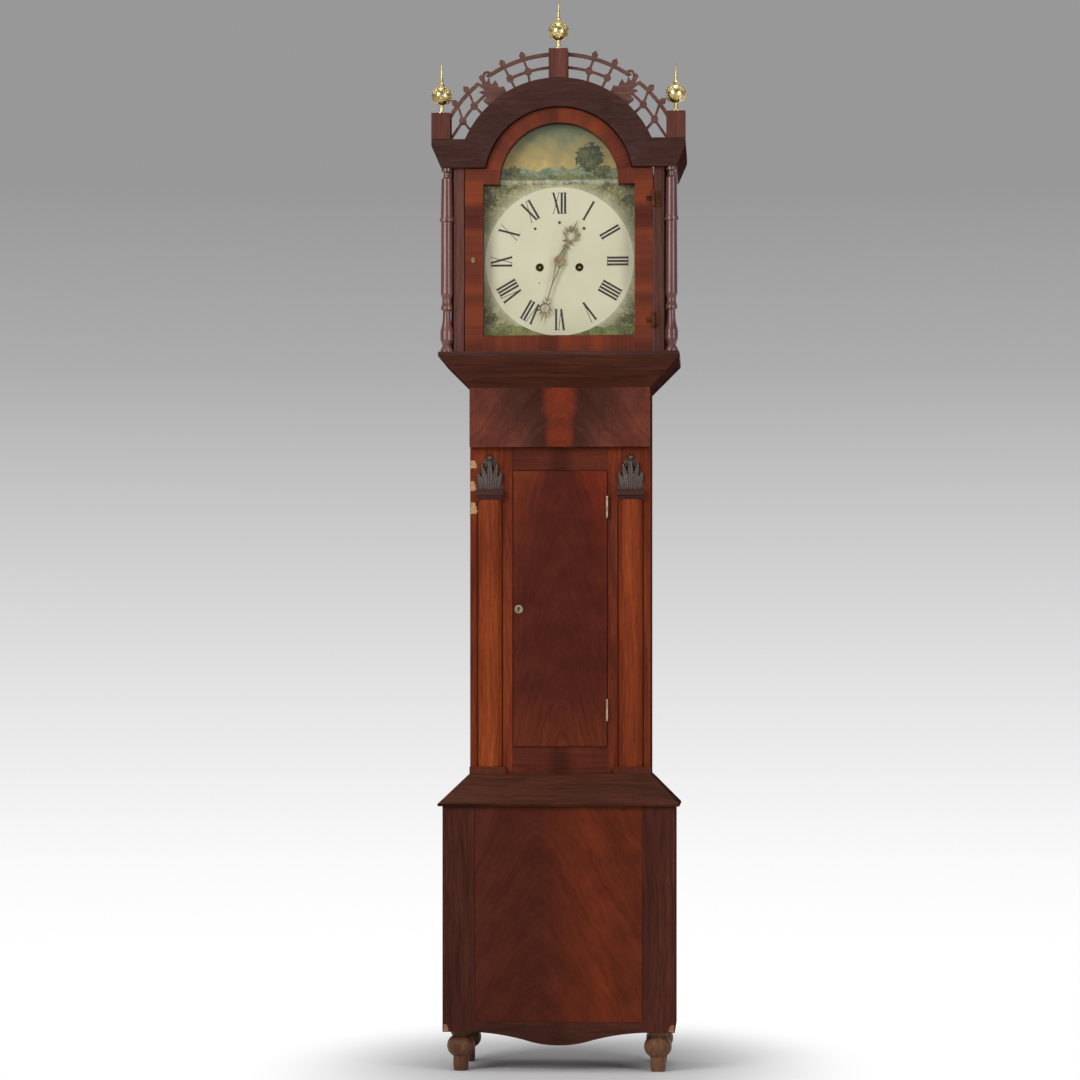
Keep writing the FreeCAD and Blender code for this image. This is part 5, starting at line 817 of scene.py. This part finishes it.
def carved_leaf(name, middle):
    """A relief cut from the ground: only the cells that stand proud of it, with their walls and back."""
    columns, rows = range(-30, 31), range(0, LEAF_HEIGHT + 2)
    raised = {(i, j): carved_height(i, j) for i in columns for j in rows}
    points, faces, number = [], [], {}

    def corner(i, j, back):
        key = (i, j, back)
        if key not in number:
            number[key] = len(points)
            depth = -0.5 if back else max(raised[i, j], -0.4)
            points.append((middle + i * MM, PANEL_FACE - depth * MM, LEAF_FOOT + j * MM))
        return number[key]

    cells = {(i, j) for i in columns[:-1] for j in rows[:-1]
             if max(raised[i, j], raised[i + 1, j], raised[i, j + 1], raised[i + 1, j + 1]) > 0.5}
    for i, j in cells:
        ring = ((i, j), (i + 1, j), (i + 1, j + 1), (i, j + 1))
        faces.append([corner(*spot, False) for spot in ring])
        faces.append([corner(*spot, True) for spot in reversed(ring)])
        for side, (step_i, step_j) in enumerate(((0, -1), (1, 0), (0, 1), (-1, 0))):
            if (i + step_i, j + step_j) not in cells:
                a, b = ring[side], ring[(side + 1) % 4]
                faces.append([corner(*a, False), corner(*a, True), corner(*b, True), corner(*b, False)])
    return meshed(name, points, faces, smooth=70)


BLOCK = ((0, 1, 2, 3), (7, 6, 5, 4), (0, 4, 5, 1), (1, 5, 6, 2), (2, 6, 7, 3), (3, 7, 4, 0))


def moulded_bar(name, middle):
    """The bar under a carved leaf: a hollow over the shaft, a fillet, a flat face and a top fillet."""
    tall = (LEAF_FOOT - CAPITAL_FOOT) / MM
    # Each step, in mm: half its width, how proud it stands, its foot and its top
    steps = ((26, 14, 0, 6), (28.5, 17, 5, 8.5), (30.5, 20, 9, tall - 4), (28.5, 17.5, tall - 5, tall))
    points, faces = [], []
    for half, proud, low, high in steps:
        first = len(points)
        plan = ((-half, 0.5), (half, 0.5), (half, -proud), (-half, -proud))
        points += [(middle + x * MM, PANEL_FACE + y * MM, CAPITAL_FOOT + z * MM)
                   for z in (low, high) for x, y in plan]
        faces += [[first + k for k in quad] for quad in BLOCK]
    return eased(meshed(name, points, faces), 1 * MM)


for side, sign in SIDES:
    middle = sign * COLUMN_X
    for piece, finish in ((carved_leaf(f"capital_leaf_{side}", middle), ebony),
                          (moulded_bar(f"capital_bar_{side}", middle), cornice_wood)):
        settle(piece, "column_capitals", finish)
        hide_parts("column_capitals")

# Trunk door: a black sheet as painted shade in the keyhole of its round escutcheon
KEY_X, KEY_Z = -90 * MM, 998 * MM
EYE_RADIUS, EYE_RISE = 3.2 * MM, 2 * MM
SKIRT_HALF, SKIRT_DROP = 1.9 * MM, 5.5 * MM
key_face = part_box("trunk_lock")[0].y
keyhole = [(KEY_X + EYE_RADIUS * cos(a), KEY_Z + EYE_RISE + EYE_RADIUS * sin(a))
           for a in (radians(-65 + 310 * step / 12) for step in range(13))]
keyhole += [(KEY_X + x, KEY_Z - SKIRT_DROP) for x in (-SKIRT_HALF, SKIRT_HALF)]
settle(sawn("trunk_keyhole_shade", [keyhole], key_face - 0.15 * MM, key_face + 0.8 * MM), "trunk_lock", black_paint_and_hole_shade)


# Hood posts: a fillet beside each turned column, and a strip behind it, close the slit at the post
post_side, post_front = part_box("hood_sides")[1].x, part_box("hood_sides")[0].y
column_low, column_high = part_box("hood_columns")
strip_front = column_high.y + 2 * MM
for name, wide, front, back in (("hood_post_fillets", 3.5 * MM, post_front + SINK, strip_front),
                                ("hood_post_strips", 11 * MM, strip_front, strip_front + 12 * MM)):
    strips = [oblong(sign * (post_side - SINK), sign * (post_side + wide), column_low.z, column_high.z)
              for sign in (-1, 1)]
    strip = eased(sawn(name, strips, front, back), 0.6 * MM)
    settle(strip, "hood_sides", hood_wood)


# Hood top: oak leaves and scrolls on the fretwork
FRET_FRONT, FRET_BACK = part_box("fretwork")[0].y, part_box("fretwork")[1].y
LEAF_TURN = radians(36.5)
CROWN_RADIUS = 219 * MM
OAK_LEAF = ((-20, -1), (-27, 15), (-16, 15), (-20, 33), (-9, 29), (-6, 47), (1, 36), (8, 50), (10, 32),
            (20, 37), (16, 18), (27, 18), (20, -1))


def on_fret(sign, aside, rise):
    """A spot on the fretwork, from the middle of the leaf on one side of the arch."""
    x, z = turned_about(ARCH_Z, LEAF_TURN, aside * MM, CROWN_RADIUS + rise * MM)
    return sign * x, z


SCROLL = ((1, 34), (2, 48), (-2, 58), (-10, 64), (-18, 61), (-18, 53), (-12, 52), (-11, 57))
for side, sign in SIDES:
    oak = sawn(f"fret_leaf_{side}", [[on_fret(sign, *spot) for spot in OAK_LEAF]], FRET_FRONT - 0.6 * MM,
               FRET_BACK + 0.6 * MM)
    settle(eased(oak, 1.2 * MM), "fretwork", fret_wood)
    middle_y = (FRET_FRONT + FRET_BACK) / 2
    path = [(x, middle_y, z) for x, z in (on_fret(sign, *spot) for spot in SCROLL)]
    settle(rod(f"fret_scroll_{side}", path, 3.0 * MM), "fretwork", fret_wood)


# Finials: pressed rosettes round each brass ball
def spot_tree(name, *sizes):
    """A node tree that works on spots: itself, a way to put nodes in it, and its inputs."""
    tree = bpy.data.node_groups.new(name, "GeometryNodeTree")
    tree.interface.new_socket("Geometry", in_out="OUTPUT", socket_type="NodeSocketGeometry")
    sockets = (("Geometry", "Geometry"), *sizes, ("Metal", "Material"))
    for label, kind in sockets:
        tree.interface.new_socket(label, in_out="INPUT", socket_type="NodeSocket" + kind)
    put = partial(add, tree)
    return tree, put, *put("NodeGroupInput").node.outputs[:len(sockets)]


def planted(tree, put, placed, metal_in):
    """End a tree: make what stands on the spots real and give it its metal."""
    solid = put("GeometryNodeRealizeInstances", placed)
    finished = put("GeometryNodeSetMaterial", solid, Material=metal_in)
    tree.links.new(finished, tree.nodes.new("NodeGroupOutput").inputs[0])
    return tree


def rosette_tree():
    """Rosettes on balls: each spot gets a ball's worth of rosettes, each a dome ringed with petals."""
    tree, put, spots, ball, petals, length, metal_in = spot_tree(
        "pressed rosettes", ("Ball radius", "Float"), ("Petals", "Int"), ("Petal length", "Float"))
    share = put("Math MULTIPLY", length, 0.5)
    drop = put("GeometryNodeMeshUVSphere", Segments=8, Rings=6, Radius=share)
    outward = put("CombineXYZ", length)
    petal = put("GeometryNodeTransform", drop, Translation=outward, Scale=(1.0, 0.62, 0.3))
    ring = put("GeometryNodeMeshLine", Count=petals, at={"Offset": (0, 0, 0)})
    step = put("Math DIVIDE", tau, petals)
    angle = put("Math MULTIPLY", put("GeometryNodeInputIndex"), step)
    around = put("GeometryNodeInstanceOnPoints", Points=ring, Instance=petal,
                 Rotation=put("CombineXYZ", 0.0, 0.0, angle))
    dome = put("GeometryNodeTransform", drop, Scale=(0.9, 0.9, 0.5))
    rosette = put("GeometryNodeJoinGeometry", around)
    tree.links.new(dome, rosette.node.inputs[0])
    globe = put("GeometryNodeMeshIcoSphere", Radius=ball, Subdivisions=1)
    height = put("SeparateXYZ", put("GeometryNodeInputPosition"), out="Z")
    beside = put("Math LESS_THAN", put("Math ABSOLUTE", height), put("Math MULTIPLY", ball, 0.9))
    normal = put("GeometryNodeInputNormal")
    facing = put("FunctionNodeAlignRotationToVector", Vector=normal, axis="Z")
    dressed = put("GeometryNodeInstanceOnPoints", Points=globe, Selection=beside, Instance=rosette,
                  Rotation=facing)
    turned = put("GeometryNodeTransform", dressed, Rotation=(0, 0, radians(18)))
    placed = put("GeometryNodeInstanceOnPoints", Points=spots, Instance=turned)
    return planted(tree, put, placed, metal_in)


def grown(name, spots, tree, sizes):
    """A plain mesh from a node tree that works on spots, with the tree's sizes set by name."""
    mesh = bpy.data.meshes.new(name + "_spots")
    mesh.from_pydata(spots, [], [])
    draft = bpy.data.objects.new(name + "_draft", mesh)
    modifier = draft.modifiers.new(name, "NODES")
    modifier.node_group = tree
    for socket in tree.interface.items_tree:
        if socket.in_out == "INPUT" and socket.name in sizes:
            modifier[socket.identifier] = sizes[socket.name]
    return plain(name, draft)


FINIAL_X, FINIAL_Y = 252.5 * MM, -115 * MM
BALL_RADIUS = 20.4 * MM
CORNER_TOP, CENTRE_TOP = 2063 * MM, 2199.5 * MM
BALL_RISE = 39.5 * MM
balls = [(x, FINIAL_Y, top + BALL_RISE)
         for x, top in ((-FINIAL_X, CORNER_TOP), (0.0, CENTRE_TOP), (FINIAL_X, CORNER_TOP))]
rosettes = grown("finial_rosettes", balls, rosette_tree(),
                 {"Ball radius": BALL_RADIUS, "Petals": 8, "Petal length": 6.6 * MM, "Metal": brass})
settle(rosettes, "brass_finials", brass)


# Fasteners: slotted screws in the hood's hinges, and forged nails that hold the backboard
def fastener_tree(name, facets, slotted):
    """Heads on spots: low domes, each turned at random about its shank, with a sawn slot in a screw's."""
    tree, put, spots, radius, seed, metal_in = spot_tree(name, ("Head radius", "Float"), ("Seed", "Int"))
    ball = put("GeometryNodeMeshUVSphere", Segments=facets, Rings=6, Radius=radius)
    head = put("GeometryNodeTransform", ball, Rotation=(pi / 2, 0, 0), Scale=(1.0, 1.0, 0.45))
    if slotted:
        length = put("Math MULTIPLY", radius, 3.0)
        slot = put("Math MULTIPLY", radius, 0.34)
        blade = put("GeometryNodeMeshCube", put("CombineXYZ", length, slot, slot))
        rise = put("Math MULTIPLY", radius, -0.45)
        blade = put("GeometryNodeTransform", blade, Translation=put("CombineXYZ", 0.0, rise))
        head = put("GeometryNodeMeshBoolean DIFFERENCE", head, blade)
    turn = put("FunctionNodeRandomValue", at={2: 0.0, 3: pi, "Seed": seed}, out=1)
    placed = put("GeometryNodeInstanceOnPoints", Points=spots, Instance=head,
                 Rotation=put("CombineXYZ", 0.0, turn, 0.0))
    return planted(tree, put, placed, metal_in)


SCREW_RADIUS, NAIL_RADIUS = 2.2 * MM, 5 * MM
HINGE_FEET = (1601.5 * MM, 1862.5 * MM)
HINGE_LEAF = 1.2 * MM
POST_SCREW_X, POST_SCREW_RISE = 213 * MM, (5.7 * MM, 28.3 * MM)
DOOR_SCREW_X, DOOR_SCREW_RISE = 194 * MM, 17 * MM
# Each pair of rows, in mm: half the spread, the lowest nail, the pitch and how many
NAIL_ROWS = ((189, 640, 125, 8), (224, 120, 105, 5))
screws = fastener_tree("slotted screws", facets=14, slotted=True)
nails = fastener_tree("forged nails", facets=7, slotted=False)
post_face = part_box("hood_hinge_plates")[1].y - HINGE_LEAF
door_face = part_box("hood_door")[0].y - HINGE_LEAF
back_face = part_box("backboard")[1].y
for name, node, spots, tree, size, material in (
        ("hood_post_screws", "hood_hinge_plates",
         [(POST_SCREW_X, post_face, foot + rise) for foot in HINGE_FEET for rise in POST_SCREW_RISE],
         screws, SCREW_RADIUS, dark_brass),
        ("hood_door_screws", "hood_door_hinges",
         [(DOOR_SCREW_X, door_face, foot + DOOR_SCREW_RISE) for foot in HINGE_FEET],
         screws, SCREW_RADIUS, dark_brass),
        ("backboard_nails", "backboard",
         [(sign * x * MM, back_face, (lowest + pitch * n) * MM)
          for x, lowest, pitch, count in NAIL_ROWS for sign in (-1, 1) for n in range(count)],
         nails, NAIL_RADIUS, iron)):
    heads = grown(name, spots, tree, {"Head radius": size, "Seed": 4, "Metal": material})
    settle(heads, node, material)


# Gut lines: two runs, and the loop under each weight's pulley
PULLEY_RADIUS = 25 * MM
LINE_RADIUS = 0.75 * MM
TIE_RISE = 3 * MM


def gut(side, sign):
    """One weight's line: the run to its barrel, the run to its knot and the loop between them."""
    pin = JOINT[f"{side}_pulley_pin"]["pos_m"]
    low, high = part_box(f"{side}_line")
    y = (low.y + high.y) / 2
    barrel_z = high.z
    knot_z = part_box("seatboard")[1].z + TIE_RISE
    for name, x, top in (("barrel_run", pin[0] - sign * PULLEY_RADIUS, barrel_z),
                         ("fixed_run", pin[0] + sign * PULLEY_RADIUS, knot_z)):
        length = top - pin[2]
        run = rod(f"{side}_{name}", [(x, y, pin[2] + length * share) for share in (0, 0.5, 1)], LINE_RADIUS)
        settle(run, f"{side}_line", gut_line)
        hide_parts(f"{side}_line")
        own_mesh(run)
    bend = ((1, 0), (1, 1), (-1, 1), (-1, 0))
    loop = rod(f"{side}_loop", [(pin[0] + PULLEY_RADIUS * a, y, pin[2] - PULLEY_RADIUS * b) for a, b in bend],
               LINE_RADIUS)
    settle(loop, f"{side}_line", gut_line, carrier=f"{side}_weight")
    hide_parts(f"{side}_line")


gut("going", 1)
gut("strike", -1)


# Age: places where veneer has come off an arris and the bare wood shows
CHIP = ((-1, -1), (-0.3, -0.9), (0.5, -0.95), (1.0, -0.5), (0.55, -0.15), (0.75, 0.2), (0.2, 0.45),
        (0.45, 0.8), (-0.4, 1.0), (-1, 0.85))


def chips(name, node, material, spots):
    """Bare patches in a front, in mm: the middle of each, across and up, and half its width and height."""
    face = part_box(node)[0].y
    outlines = [[((middle + x * half) * MM, (level + up * tall) * MM) for x, up in CHIP]
                for middle, level, half, tall in spots]
    settle(sawn(name, outlines, face - SINK, face + SINK), node, material)


chips("trunk_veneer_chips", "trunk_front_frame", bare_wood,
      [(1 + half - TRUNK_HALF / MM, level, half, tall)
       for level, half, tall in ((1313, 7.5, 9), (1266, 6.5, 11), (1218, 8, 13))])
base_low, base_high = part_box("base_carcass")
chips("base_veneer_chips", "base_frame", rubbed_wood,
      [(sign * (base_high.x / MM - 8), base_low.z / MM + 9, -6 * sign, 8) for sign in (-1, 1)])
